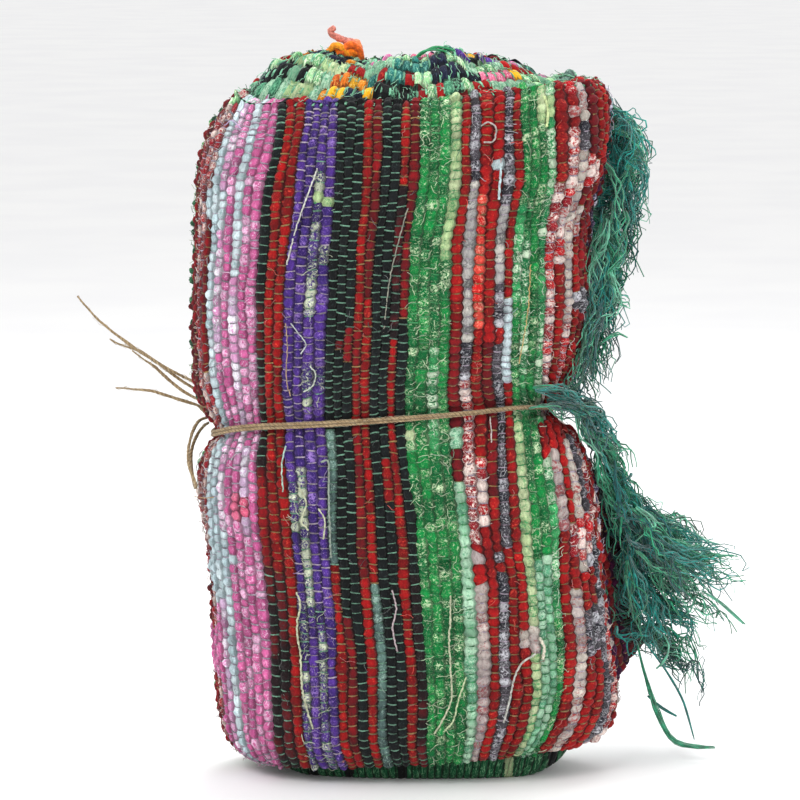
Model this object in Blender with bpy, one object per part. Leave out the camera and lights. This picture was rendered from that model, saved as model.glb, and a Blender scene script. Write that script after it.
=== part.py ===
"""Rag rug, folded in half lengthwise, rolled up and tied at its waist with doubled jute twine.

The roll stands on its fold. Its weft rags run up and down, so each rag is a rib up the
outer turn, and the two selvedges of the folded cloth make the spiral on top. The outer end
of the cloth stands a little away from the roll on the right, with its warp fringe.
+Z is up, the face with the loose end on its right looks along -Y, and the origin is the
middle of the base of all but the twine's free ends.
"""

import math
from collections import namedtuple

import bpy
from mathutils import Vector

# Driving sizes, in metres.
RIBS = 98                # weft rags round the outer turn
RIB_RISE = 0.0026        # from the valley between two rags to a rag's crest
TURN = 0.0215            # from one turn of the doubled cloth to the next
CLOTH = 0.0096           # the loose end's thickness
GAP = 0.0003             # between pieces that touch
STEP = CLOTH + RIB_RISE / 2 + 4 * GAP   # the outer end's ledge over the turn under it
STEP_BACK = 0.004        # the ledge's place behind the roll's right-hand side
LAP = 0.90               # share of the way round over which that ledge dies away
TOP_RELIEF = 0.0045      # half the depth of the groove between two turns on top
TOP_RISE_OVER = 0.040    # the inner turns rise to their height over this width
SWELL = 0.0019           # the slow unevenness of the roll's side, either way
SWELL_AFTER = 0.15       # it sets in over this share of the way round from the ledge
SWELL_BEFORE = 0.08      # and dies away again over this share before the ledge
STRAND = 0.0029          # one strand of jute twine
FREE_STRAND = 0.0028     # a strand of the twine where nothing presses it
TOP_RINGS = 12           # rings of the top between the outer turn and its middle
TOP_RING = 0.0045        # width of one of them
LEDGE_DIES = 0.050       # the ledge dies away over this width of the top and of the base
OUTLINE_STEPS = 720      # fineness of the curve from which an outline's arc is measured
SPOKE_EVERY = 4          # columns of the side for each spoke of the top and the base
ROUTE_STEPS = 12         # fineness of a cord's curve between two of its route's points
CORD_STEP = 2.2          # strands from one point of a cord's tube to the next

# The waves of that unevenness: how many go round, how far they turn in a metre of height,
# where they start, and their share of it.
Wave = namedtuple("Wave", "around climb start share")
WAVES = (
    Wave(3, 17.0, 0.0, 0.6),
    Wave(5, -31.0, 1.3, 0.4),
)

# One row for each height of the outer turn. A row slopes from z_left to z_right, because
# the twine runs uphill. left, right, front and back are the reach from the roll's line,
# pink_seam and green_seam the places on the front of two named edges between stripes,
# and round is the outline's exponent: 2 is an ellipse, more is boxier.
Section = namedtuple("Section", "z_left z_right left right front back pink_seam green_seam round")
SECTIONS = (
    Section(0.008, 0.027, 0.125, 0.162, 0.062, 0.064, -0.092, 0.022, 2.3),
    Section(0.013, 0.034, 0.139, 0.174, 0.072, 0.074, -0.099, 0.021, 2.4),
    Section(0.025, 0.048, 0.150, 0.181, 0.079, 0.080, -0.103, 0.020, 2.5),
    Section(0.048, 0.066, 0.158, 0.184, 0.083, 0.084, -0.107, 0.018, 2.5),
    Section(0.096, 0.102, 0.162, 0.178, 0.085, 0.086, -0.112, 0.014, 2.6),
    Section(0.150, 0.150, 0.163, 0.172, 0.085, 0.087, -0.116, 0.011, 2.6),
    Section(0.204, 0.208, 0.168, 0.167, 0.083, 0.085, -0.120, 0.008, 2.5),
    Section(0.244, 0.258, 0.173, 0.160, 0.080, 0.081, -0.121, 0.004, 2.4),
    Section(0.270, 0.288, 0.168, 0.147, 0.075, 0.076, -0.118, 0.003, 2.3),
    Section(0.2845, 0.3050, 0.157, 0.123, 0.067, 0.068, -0.116, 0.004, 2.3),
    Section(0.2915, 0.3120, 0.157, 0.123, 0.067, 0.068, -0.116, 0.004, 2.3),
    Section(0.307, 0.330, 0.1665, 0.141, 0.075, 0.076, -0.118, 0.004, 2.3),
    Section(0.344, 0.358, 0.178, 0.151, 0.082, 0.083, -0.120, 0.005, 2.4),
    Section(0.406, 0.408, 0.178, 0.156, 0.084, 0.085, -0.121, 0.007, 2.6),
    Section(0.460, 0.462, 0.176, 0.155, 0.084, 0.084, -0.119, 0.009, 2.6),
    Section(0.508, 0.512, 0.172, 0.168, 0.081, 0.082, -0.115, 0.011, 2.5),
    Section(0.541, 0.548, 0.163, 0.174, 0.077, 0.078, -0.110, 0.013, 2.4),
    Section(0.561, 0.570, 0.150, 0.173, 0.071, 0.072, -0.104, 0.014, 2.3),
    Section(0.573, 0.582, 0.139, 0.166, 0.062, 0.063, -0.098, 0.015, 2.3),
)
PINK_RIB = 59.5          # the rib counted from the ledge at which the pink stripe ends
GREEN_RIB = 74.5         # the rib at which the green stripe starts
TIED = (9, 10)           # the rows between which the twine lies

# How high the inner turns' selvedges stand, from left to right.
TopPlace = namedtuple("TopPlace", "x z")
TOP_LINE = (
    TopPlace(-0.130, 0.592),
    TopPlace(-0.105, 0.599),
    TopPlace(-0.060, 0.602),
    TopPlace(0.070, 0.601),
    TopPlace(0.096, 0.597),
    TopPlace(0.118, 0.585),
    TopPlace(0.150, 0.584),
)

# The base from the outer turn's fold inwards: how far in, and how high.
BaseRing = namedtuple("BaseRing", "inset height")
BASE = (
    BaseRing(0.008, 0.030),
    BaseRing(0.014, 0.016),
    BaseRing(0.021, 0.000),
    BaseRing(0.036, 0.000),
    BaseRing(0.042, 0.010),
    BaseRing(0.050, 0.003),
)
REST_LEFT = -0.075       # the flat on which the roll stands reaches from here
REST_RIGHT = 0.100       # to here, and the folds past it curve up
REST_CURL = 9.0          # how fast they curve up, per metre

# The loose end, a row for each height: where it leaves the ledge, where its tip is, and
# how far that tip stands out from the roll's own curve.
Loose = namedtuple("Loose", "z_root z_tip out")
LOOSE_END = (
    Loose(0.066, 0.094, 0.050),
    Loose(0.102, 0.124, 0.050),
    Loose(0.150, 0.164, 0.046),
    Loose(0.208, 0.214, 0.036),
    Loose(0.258, 0.260, 0.022),
    Loose(0.288, 0.288, 0.008),
    Loose(0.305, 0.305, 0.000),
    Loose(0.312, 0.312, 0.000),
    Loose(0.330, 0.330, 0.004),
    Loose(0.358, 0.358, 0.014),
    Loose(0.408, 0.408, 0.025),
    Loose(0.462, 0.461, 0.029),
    Loose(0.512, 0.510, 0.030),
    Loose(0.548, 0.545, 0.031),
    Loose(0.566, 0.562, 0.032),
)
LOOSE_REACH = 0.050      # along the cloth, from the ledge to the tip
LOOSE_WAY = Vector((0.94, 0.34, 0.0))    # the way in which the tip stands out
LOOSE_FLARE = 1.7        # how late along the cloth it turns out: 1 is evenly
LOOSE_RIBS = 6

# The fringe: a row for each height of the strip, with how far a lock reaches to the right
# and to the back, and how far it drops. Each lock then takes its own place in a fan.
Fall = namedtuple("Fall", "z out back drop")
FRINGE = (
    Fall(0.094, 0.056, 0.004, 0.078),
    Fall(0.124, 0.064, 0.008, 0.046),
    Fall(0.160, 0.102, 0.012, 0.046),
    Fall(0.205, 0.122, 0.020, 0.040),
    Fall(0.235, 0.084, 0.038, 0.058),
    Fall(0.260, 0.054, 0.044, 0.072),
    Fall(0.290, 0.044, 0.042, 0.078),
    Fall(0.335, 0.026, 0.014, 0.060),
    Fall(0.400, 0.026, 0.004, 0.074),
    Fall(0.500, 0.024, 0.004, 0.080),
    Fall(0.565, 0.030, 0.005, 0.076),
)
STRIP = 0.005            # width of the strip from which the locks hang
STRIP_GAP = 0.0013       # from the cloth's skewed edge to the strip, along the cloth
STRIP_INSET = 0.0005     # how much thinner it is than the cloth, on each face
STRIP_AIM = 0.9          # the strip goes on in the loose end's way from this share to its tip
LOCK_EVERY = 0.016       # height of the strip for each pair of locks
LOCK_WIDTH = 0.0052
LOCK_TIP = 0.0018
LOCK_TAPER = 1.5         # how late a lock grows thin: 1 is evenly
LOCK_STEPS = 5
FAN = (-1.4, 0.3, -0.6, 1.0)     # turns of four locks from the way that the table gives
FAN_TURN = math.radians(17)      # a turn of 1 in FAN
LANE_TURN = 0.5          # the two lanes of locks lie this much apart in FAN
LOCK_LEAVES = 0.011      # how far a lock keeps to the strip's own way
NEAR_LOCK = 0.72         # every other lock of a place in the fan is this much shorter
BARE_LOW, BARE_HIGH = 0.293, 0.331   # no lock leaves the strip here, where the twine holds it

# A lock's curve after its root, as shares of LOCK_LEAVES, of its reach and of its drop.
Bend = namedtuple("Bend", "leaves out drop")
LOCK_CURVE = (
    Bend(1.0, 0.35, 0.0),
    Bend(0.8, 0.93, 0.36),
    Bend(0.6, 1.0, 1.0),
)

# The twine round the waist. Its two strands lie one over the other at the front, and turn
# by WRAP_TURN at the most on their way round to the back.
WRAP_STATIONS = 64
WRAP_SIDES = 5           # points on the round part of one strand
WRAP_ROUND = math.radians(144)
WRAP_SPREAD = 0.9        # from the middle of the two strands to the middle of one, in radii
WRAP_TURN = math.radians(76)
WRAP_FRONT = 0.55        # share of the way round at which the strands lie one over the other
TIE_DROPS = 0.12         # the twine drops after the loose end over this share of the way

# The twine's knot and what leaves it. Each route is read as one smooth curve.
KNOT = Vector((-0.1566, 0.0350, 0.2998))
KNOT_RADII = (0.0088, 0.0088, 0.0078)
KNOT_AROUND, KNOT_HIGH = 16, 9
KNOT_SWELL = 0.09        # how far its three turns of strand rise, as a share of its radii
END_A = (
    (-0.1605, 0.0337, 0.3070), (-0.1668, 0.0325, 0.3174), (-0.1730, 0.0315, 0.3256),
    (-0.1856, 0.0300, 0.3325), (-0.1982, 0.0285, 0.3393), (-0.2100, 0.0270, 0.3470),
    (-0.2218, 0.0258, 0.3546), (-0.2318, 0.0248, 0.3623), (-0.2419, 0.0240, 0.3700),
    (-0.2486, 0.0232, 0.3759), (-0.2554, 0.0225, 0.3819), (-0.2612, 0.0220, 0.3887),
    (-0.2671, 0.0215, 0.3956), (-0.2713, 0.0210, 0.4010),
)
END_B = (
    (-0.1633, 0.0376, 0.3052), (-0.1686, 0.0372, 0.3130), (-0.1730, 0.0370, 0.3188),
    (-0.1792, 0.0366, 0.3232), (-0.1856, 0.0362, 0.3274), (-0.1982, 0.0356, 0.3367),
    (-0.2052, 0.0352, 0.3424), (-0.2125, 0.0348, 0.3478), (-0.2172, 0.0346, 0.3512),
    (-0.2218, 0.0344, 0.3536), (-0.2272, 0.0342, 0.3552), (-0.2327, 0.0340, 0.3568),
    (-0.2375, 0.0338, 0.3588), (-0.2419, 0.0336, 0.3606), (-0.2453, 0.0336, 0.3630),
)
END_C = (
    (-0.1664, 0.0352, 0.3033), (-0.1688, 0.0360, 0.3074), (-0.1720, 0.0372, 0.3112),
    (-0.1786, 0.0394, 0.3144), (-0.1856, 0.0412, 0.3184), (-0.1920, 0.0426, 0.3232),
    (-0.1982, 0.0438, 0.3284), (-0.2034, 0.0446, 0.3332), (-0.2083, 0.0453, 0.3376),
    (-0.2134, 0.0459, 0.3412), (-0.2184, 0.0464, 0.3444), (-0.2232, 0.0468, 0.3480),
    (-0.2276, 0.0472, 0.3514),
)
END_D = (
    (-0.1648, 0.0305, 0.3002), (-0.1682, 0.0290, 0.3042), (-0.1716, 0.0276, 0.3074),
    (-0.1802, 0.0250, 0.3106), (-0.1890, 0.0228, 0.3137), (-0.1986, 0.0208, 0.3172),
    (-0.2083, 0.0190, 0.3205), (-0.2150, 0.0180, 0.3216), (-0.2218, 0.0172, 0.3222),
    (-0.2274, 0.0166, 0.3228), (-0.2334, 0.0160, 0.3236), (-0.2394, 0.0156, 0.3238),
)
LOOP = (
    (-0.1632, 0.0281, 0.2968), (-0.1684, 0.0222, 0.2958), (-0.1718, 0.0156, 0.2928),
    (-0.1750, 0.0066, 0.2862), (-0.1770, -0.0036, 0.2776), (-0.1774, -0.0130, 0.2696),
    (-0.1758, -0.0218, 0.2624), (-0.1730, -0.0284, 0.2566), (-0.1706, -0.0306, 0.2508),
    (-0.1700, -0.0276, 0.2464), (-0.1708, -0.0222, 0.2450), (-0.1722, -0.0166, 0.2480),
    (-0.1738, -0.0114, 0.2538), (-0.1752, -0.0058, 0.2618), (-0.1756, 0.0012, 0.2702),
    (-0.1736, 0.0096, 0.2786), (-0.1700, 0.0186, 0.2856), (-0.1656, 0.0256, 0.2902),
    (-0.1624, 0.0300, 0.2920),
)

# The rag end that sticks out of the selvedge on top: places and half-thickness.
RagPoint = namedtuple("RagPoint", "x y lift radius")
RAG_END = (
    RagPoint(-0.062, 0.004, 0.0066, 0.0030),
    RagPoint(-0.058, 0.003, 0.0072, 0.0056),
    RagPoint(-0.050, 0.001, 0.0076, 0.0070),
    RagPoint(-0.042, 0.000, 0.0082, 0.0072),
    RagPoint(-0.036, 0.001, 0.0098, 0.0058),
    RagPoint(-0.036, 0.003, 0.0142, 0.0044),
    RagPoint(-0.042, 0.005, 0.0160, 0.0036),
    RagPoint(-0.050, 0.005, 0.0190, 0.0032),
    RagPoint(-0.056, 0.004, 0.0222, 0.0030),
    RagPoint(-0.0575, 0.003, 0.0256, 0.0028),
    RagPoint(-0.054, 0.002, 0.0280, 0.0024),
)
RAG_SEAT = 0.5984        # height from which the rag end's own lifts are counted

COLORS = {
    "rug_roll": (0.42, 0.10, 0.14, 1.0),
    "rug_loose_end": (0.24, 0.07, 0.13, 1.0),
    "rug_fringe": (0.05, 0.36, 0.29, 1.0),
    "rag_end": (0.85, 0.38, 0.06, 1.0),
    "twine": (0.56, 0.44, 0.30, 1.0),
}
CLOTH_ROUGHNESS = 0.95


# Curves and blends ---------------------------------------------------------------------

def smooth(share):
    """Eased 0 to 1."""
    share = min(1.0, max(0.0, share))
    return share * share * (3 - 2 * share)


def mixed(a, b, share):
    return a + (b - a) * share


def rowed(rows, key, at):
    """The row of a table at a place between its rows, as a row of the same kind."""
    places = [getattr(row, key) for row in rows]
    if at <= places[0]:
        return rows[0]
    for low, high in zip(rows, rows[1:]):
        if at <= getattr(high, key):
            share = (at - getattr(low, key)) / (getattr(high, key) - getattr(low, key))
            return type(low)(*(mixed(a, b, share) for a, b in zip(low, high)))
    return rows[-1]


def power(value, exponent):
    return math.copysign(abs(value) ** exponent, value)


def smooth_route(points, spacing):
    """Evenly spaced points on one smooth curve through a cord's own points."""
    knots = [Vector(p) for p in points]
    ends = [2 * knots[0] - knots[1]] + knots + [2 * knots[-1] - knots[-2]]
    fine = []
    for a, b, c, d in zip(ends, ends[1:], ends[2:], ends[3:]):
        for i in range(ROUTE_STEPS):
            t = i / ROUTE_STEPS
            fine.append(0.5 * (2 * b + (c - a) * t + (2 * a - 5 * b + 4 * c - d) * t ** 2
                               + (3 * b - a - 3 * c + d) * t ** 3))
    fine.append(knots[-1])
    lengths = [0.0]
    for a, b in zip(fine, fine[1:]):
        lengths.append(lengths[-1] + (b - a).length)
    count = max(2, round(lengths[-1] / spacing))
    route = []
    at = 0
    for i in range(count + 1):
        want = lengths[-1] * i / count
        while at < len(fine) - 2 and lengths[at + 1] < want:
            at += 1
        share = (want - lengths[at]) / (lengths[at + 1] - lengths[at])
        route.append(fine[at].lerp(fine[at + 1], min(1.0, share)))
    return route


# The roll's outline --------------------------------------------------------------------

def outline_point(row, angle, out=0.0):
    """A point on a row's outline, at an angle that starts on the right and runs by the back."""
    across = power(math.cos(angle), 2 / row.round)
    deep = power(math.sin(angle), 2 / row.round)
    middle = (row.right - row.left) / 2
    half = (row.right + row.left) / 2
    depth = row.back if deep > 0 else row.front
    x = middle + (half + out) * across
    y = (depth + out) * deep
    share = (x + row.left) / (row.left + row.right)
    return Vector((x, y, mixed(row.z_left, row.z_right, share)))


def first_angle(row):
    """The angle at which the outer end's ledge stands, just behind the right-hand side."""
    return math.asin((STEP_BACK / row.back) ** (row.round / 2))


def arc_of(row):
    """Angles round a row from the ledge, with the length of arc at each."""
    start = first_angle(row)
    angles = [start + 2 * math.pi * i / OUTLINE_STEPS for i in range(OUTLINE_STEPS + 1)]
    lengths = [0.0]
    points = [outline_point(row, angle) for angle in angles]
    for a, b in zip(points, points[1:]):
        lengths.append(lengths[-1] + (b.xy - a.xy).length)
    return angles, lengths, points


def looked_up(places, values, at):
    """The value at a place, in two lists that run together."""
    if at <= places[0]:
        return values[0]
    for i in range(1, len(places)):
        if at <= places[i]:
            share = (at - places[i - 1]) / (places[i] - places[i - 1])
            return mixed(values[i - 1], values[i], share)
    return values[-1]


def column_angles(row):
    """The angle of every valley and crest round a row, which meet the two named seams."""
    angles, lengths, points = arc_of(row)
    front = [i for i, p in enumerate(points) if p.y < 0 and i > OUTLINE_STEPS // 4]
    seams = [looked_up([points[i].x for i in front], [lengths[i] for i in front], x)
             for x in (row.pink_seam, row.green_seam)]
    ribs = (0.0, PINK_RIB, GREEN_RIB, float(RIBS))
    arcs = (0.0, seams[0], seams[1], lengths[-1])
    return [looked_up(lengths, angles, looked_up(ribs, arcs, column / 2))
            for column in range(2 * RIBS + 1)]


def ledge(share, depth=0.0):
    """How far the surface lies inside the outer turn, under the lap of its loose end."""
    return STEP * (1 - smooth(share / LAP)) * (1 - smooth(depth / LEDGE_DIES))


def swell(angle, share, z):
    """The slow unevenness of a soft roll, which dies away at the ledge."""
    held = smooth(share / SWELL_AFTER) * smooth((1 - share) / SWELL_BEFORE)
    lift = sum(wave.share * math.sin(wave.around * angle + wave.climb * z + wave.start)
               for wave in WAVES)
    return SWELL * lift * held


def side_ring(row):
    """One row of the outer turn, a valley and a crest for each rag."""
    ring = []
    for column, angle in enumerate(column_angles(row)):
        rise = RIB_RISE / 2 if column % 2 else -RIB_RISE / 2
        share = column / (2 * RIBS)
        out = rise + swell(angle, share, (row.z_left + row.z_right) / 2) - ledge(share)
        ring.append(outline_point(row, angle, out))
    return ring


# Meshes --------------------------------------------------------------------------------

def material(name, color):
    """A dull material of one colour."""
    made = bpy.data.materials.new(name)
    made.use_nodes = True
    shader = made.node_tree.nodes["Principled BSDF"]
    shader.inputs["Base Color"].default_value = color
    shader.inputs["Roughness"].default_value = CLOTH_ROUGHNESS
    made.diffuse_color = color
    return made


def mesh_object(name, points, faces, color):
    mesh = bpy.data.meshes.new(name)
    mesh.from_pydata([tuple(p) for p in points], [], faces)
    mesh.update()
    return placed(name, mesh, color)


def placed(name, data, color):
    piece = bpy.data.objects.new(name, data)
    data.materials.append(material(name, color))
    bpy.data.collections["rag_rug"].objects.link(piece)
    return piece


def bridge(first, second):
    """Quads between two closed rings of the same count, given as point numbers."""
    count = len(first)
    return [(first[i], first[(i + 1) % count], second[(i + 1) % count], second[i])
            for i in range(count)]


def thinned(fine, coarse, flip):
    """Triangles from a fine ring to a coarse one, with one spoke for every few columns."""
    faces = []
    last = len(coarse) - 1
    for spoke in range(last):
        start = spoke * SPOKE_EVERY
        middle = start + SPOKE_EVERY // 2
        for i in range(start, start + SPOKE_EVERY):
            near = coarse[spoke] if i < middle else coarse[spoke + 1]
            faces.append((fine[i], fine[i + 1], near))
        faces.append((fine[middle], coarse[spoke + 1], coarse[spoke]))
    faces.append((fine[-1], fine[0], coarse[0]))
    faces.append((fine[-1], coarse[0], coarse[last]))
    return [face[::-1] for face in faces] if flip else faces


def tube(name, route, strand, color):
    """A cord's solid: a bevelled line with filled caps."""
    curve = bpy.data.curves.new(name, "CURVE")
    curve.dimensions = "3D"
    curve.bevel_depth = strand / 2
    curve.bevel_resolution = 2
    curve.use_fill_caps = True
    spline = curve.splines.new("POLY")
    spline.points.add(len(route) - 1)
    for point, place in zip(spline.points, route):
        point.co = (*place, 1.0)
    return placed(name, curve, color)


# The rug -------------------------------------------------------------------------------

def top_point(row, angle, share, inset):
    """A point on the spiral of selvedges, a way in from the outer turn's crest."""
    deep = inset + ledge(share, inset)
    point = outline_point(row, angle, -deep)
    high = rowed(TOP_LINE, "x", point.x).z
    point.z = mixed(point.z, high, smooth(inset / TOP_RISE_OVER))
    phase = (inset + TURN * share) / TURN
    point.z += TOP_RELIEF * (math.cos(2 * math.pi * phase) - 1)
    return point


def base_point(row, angle, share, ring):
    """A point under the roll: the fold of the outer turn, then those of the inner ones."""
    deep = ring.inset + ledge(share, ring.inset)
    point = outline_point(row, angle, -deep)
    past = max(REST_LEFT - point.x, point.x - REST_RIGHT, 0.0)
    point.z = ring.height + REST_CURL * past * past
    return point


def rug_roll():
    """The wound form as one solid: ribbed side, spiral top, and base with a small flat."""
    points = []
    rings = []
    for row in SECTIONS:
        ring = side_ring(row)
        rings.append(range(len(points), len(points) + len(ring)))
        points += ring
    faces = []
    for low, high in zip(rings, rings[1:]):
        faces += bridge(low, high)

    def add_cap(row, makers, flip):
        """Rings of one spoke for every few columns, closed at a middle point."""
        fine = rings[-1] if flip else rings[0]
        angles = column_angles(row)[::SPOKE_EVERY]
        previous = None
        for maker in makers:
            ring = [maker(row, angle, i / (len(angles) - 1)) for i, angle in enumerate(angles)]
            numbers = range(len(points), len(points) + len(ring))
            points.extend(ring)
            if previous is None:
                faces.extend(thinned(fine, numbers, not flip))
            else:
                faces.extend(bridge(previous, numbers) if flip else bridge(numbers, previous))
            previous = numbers
        middle = sum((points[i] for i in previous), Vector()) / len(previous)
        points.append(middle)
        for i in range(len(previous)):
            pair = (previous[i], previous[(i + 1) % len(previous)])
            faces.append((*pair, len(points) - 1) if flip else (*pair[::-1], len(points) - 1))

    insets = [TOP_RING * (i + 1) for i in range(TOP_RINGS)]
    add_cap(SECTIONS[-1], [lambda row, angle, share, inset=inset:
                           top_point(row, angle, share, inset) for inset in insets], True)
    add_cap(SECTIONS[0], [lambda row, angle, share, ring=ring:
                          base_point(row, angle, share, ring) for ring in BASE], False)
    return mesh_object("rug_roll", points, faces, COLORS["rug_roll"])


def row_at(z):
    """The outline row at a height, by the heights on the roll's right-hand side."""
    return rowed(SECTIONS, "z_right", z)


def angle_after(row, reach):
    """The angle at a length of arc from the ledge."""
    angles, lengths, _ = arc_of(row)
    return looked_up(lengths, angles, reach)


def loose_point(lean, reach, inward):
    """A point of the loose end: on one of its rows, a way along it, and through it."""
    row = row_at(lean.z_root)
    share = reach / LOOSE_REACH
    angle = angle_after(row, reach)
    point = outline_point(row, angle)
    out = outline_point(row, angle, 1.0) - point
    out = Vector((out.x, out.y, 0)).normalized()
    point += out * (-inward) + LOOSE_WAY * lean.out * share ** LOOSE_FLARE
    point.z += (lean.z_tip - lean.z_root) * share
    return point


def loose_columns():
    """How far along the loose end each valley and crest lies, with its rise."""
    step = (LOOSE_REACH - 2 * GAP) / (2 * LOOSE_RIBS)
    return [(2 * GAP + i * step, -RIB_RISE / 2 if i % 2 == 0 else RIB_RISE / 2)
            for i in range(2 * LOOSE_RIBS + 1)]


def rug_loose_end():
    """The outer end of the cloth, a ribbed sheet that starts face to face with the ledge."""
    points = []
    rings = []
    columns = loose_columns()
    for lean in LOOSE_END:
        outer = [loose_point(lean, reach, -rise) for reach, rise in columns]
        inner = [loose_point(lean, reach, CLOTH) for reach, _ in reversed(columns[::2])]
        rings.append(range(len(points), len(points) + len(outer) + len(inner)))
        points += outer + inner
    faces = []
    for low, high in zip(rings, rings[1:]):
        faces += bridge(low, high)
    faces.append(tuple(rings[0])[::-1])
    faces.append(tuple(rings[-1]))
    return mesh_object("rug_loose_end", points, faces, COLORS["rug_loose_end"])


# The fringe ----------------------------------------------------------------------------

def strip_rows():
    """The strip's rows: each row of the loose end, and even parts of the way to the next."""
    rows = []
    for low, high in zip(LOOSE_END, LOOSE_END[1:]):
        count = max(1, round((high.z_tip - low.z_tip) / LOCK_EVERY))
        rows += [(low, high, part / count) for part in range(count)]
    rows.append((*LOOSE_END[-2:], 1.0))
    return rows


def strip_corner(strip_row, through, far):
    """A corner of the strip: through the cloth's thickness, on its near or far side."""
    low, high, share = strip_row
    inward = STRIP_INSET + through * (CLOTH - 2 * STRIP_INSET)
    tips = [loose_point(lean, LOOSE_REACH, inward) for lean in (low, high)]
    before = [loose_point(lean, LOOSE_REACH * STRIP_AIM, inward) for lean in (low, high)]
    tip = tips[0].lerp(tips[1], share)
    way = (tip - before[0].lerp(before[1], share)).normalized()
    return tip + way * (STRIP_GAP + far * STRIP)


def lock_rings(corners, out, drop, heading):
    """Rings of a four-sided lock that leaves the strip at four corners and then falls."""
    root = sum(corners, Vector()) / len(corners)
    up = ((corners[2] + corners[3]) - (corners[0] + corners[1])).normalized()
    side = ((corners[1] + corners[2]) - (corners[0] + corners[3])).normalized()
    way = side.cross(up).normalized()
    turned = Vector((math.cos(heading), math.sin(heading), 0))
    bend, hang, end = (root + way * LOCK_LEAVES * part.leaves + turned * out * part.out
                       + Vector((0, 0, -drop * part.drop)) for part in LOCK_CURVE)
    rings = []
    previous = way
    for step in range(1, LOCK_STEPS + 1):
        t = step / LOCK_STEPS
        place = ((1 - t) ** 3 * root + 3 * (1 - t) ** 2 * t * bend
                 + 3 * (1 - t) * t ** 2 * hang + t ** 3 * end)
        ahead = (3 * (1 - t) ** 2 * (bend - root) + 6 * (1 - t) * t * (hang - bend)
                 + 3 * t ** 2 * (end - hang)).normalized()
        turn = previous.rotation_difference(ahead)
        side = turn @ side
        up = turn @ up
        previous = ahead
        half = mixed(LOCK_WIDTH, LOCK_TIP, t ** LOCK_TAPER) / 2
        rings.append([place - side * half - up * half, place + side * half - up * half,
                      place + side * half + up * half, place - side * half + up * half])
    return rings


def rug_fringe():
    """The warp fringe: a strip along the loose end's edge, and its locks."""
    rows = strip_rows()
    points = []
    number = {}
    for far in (0, 1):
        for r, row in enumerate(rows):
            for lane in range(3):
                number[far, r, lane] = len(points)
                points.append(strip_corner(row, lane / 2, far))
    faces = []
    for r in range(len(rows) - 1):
        for lane in (0, 2):
            side = (number[0, r, lane], number[1, r, lane],
                    number[1, r + 1, lane], number[0, r + 1, lane])
            faces.append(side if lane == 0 else side[::-1])
        for lane in range(2):
            faces.append((number[0, r, lane], number[0, r + 1, lane],
                          number[0, r + 1, lane + 1], number[0, r, lane + 1]))
            around = (number[1, r, lane], number[1, r, lane + 1],
                      number[1, r + 1, lane + 1], number[1, r + 1, lane])
            faces += lock(points, around, r, lane)
    for r in (0, len(rows) - 1):
        end = [number[0, r, 0], number[0, r, 1], number[0, r, 2],
               number[1, r, 2], number[1, r, 1], number[1, r, 0]]
        faces.append(tuple(end) if r == 0 else tuple(reversed(end)))
    return mesh_object("rug_fringe", points, faces, COLORS["rug_fringe"])


def lock(points, around, r, lane):
    """Adds a lock's points, and returns its faces, from the four corners of its root."""
    corners = [points[i] for i in around]
    z = sum(corner.z for corner in corners) / 4
    if BARE_LOW < z < BARE_HIGH:
        return [around]
    fall = rowed(FRINGE, "z", z)
    place = FAN[r % len(FAN)] + (lane - 0.5) * LANE_TURN
    size = NEAR_LOCK if (r // len(FAN) + lane) % 2 else 1.0
    faces = []
    last = around
    heading = math.atan2(fall.back, fall.out) + FAN_TURN * place
    reach = math.hypot(fall.out, fall.back) * size
    for ring in lock_rings(corners, reach, fall.drop * size, heading):
        new = tuple(range(len(points), len(points) + 4))
        points.extend(ring)
        faces += bridge(last, new)
        last = new
    return faces + [last]


def rag_end():
    """The orange rag end with its curled tail, which sticks out of the selvedge on top."""
    curve = bpy.data.curves.new("rag_end", "CURVE")
    curve.dimensions = "3D"
    curve.bevel_depth = 1.0
    curve.bevel_resolution = 2
    curve.use_fill_caps = True
    spline = curve.splines.new("POLY")
    spline.points.add(len(RAG_END) - 1)
    for point, rag in zip(spline.points, RAG_END):
        point.co = (rag.x, rag.y, RAG_SEAT + rag.lift, 1.0)
        point.radius = rag.radius
    return placed("rag_end", curve, COLORS["rag_end"])


# The twine -----------------------------------------------------------------------------

def tie_row():
    """The row in the middle of the waist."""
    low, high = (SECTIONS[i] for i in TIED)
    return Section(*(mixed(a, b, 0.5) for a, b in zip(low, high)))


def tie_drop(share, around):
    """How far the twine drops towards the turn under the outer one, once past the loose end."""
    return ledge(share) * smooth((share - LOOSE_REACH / around) / TIE_DROPS)


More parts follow.
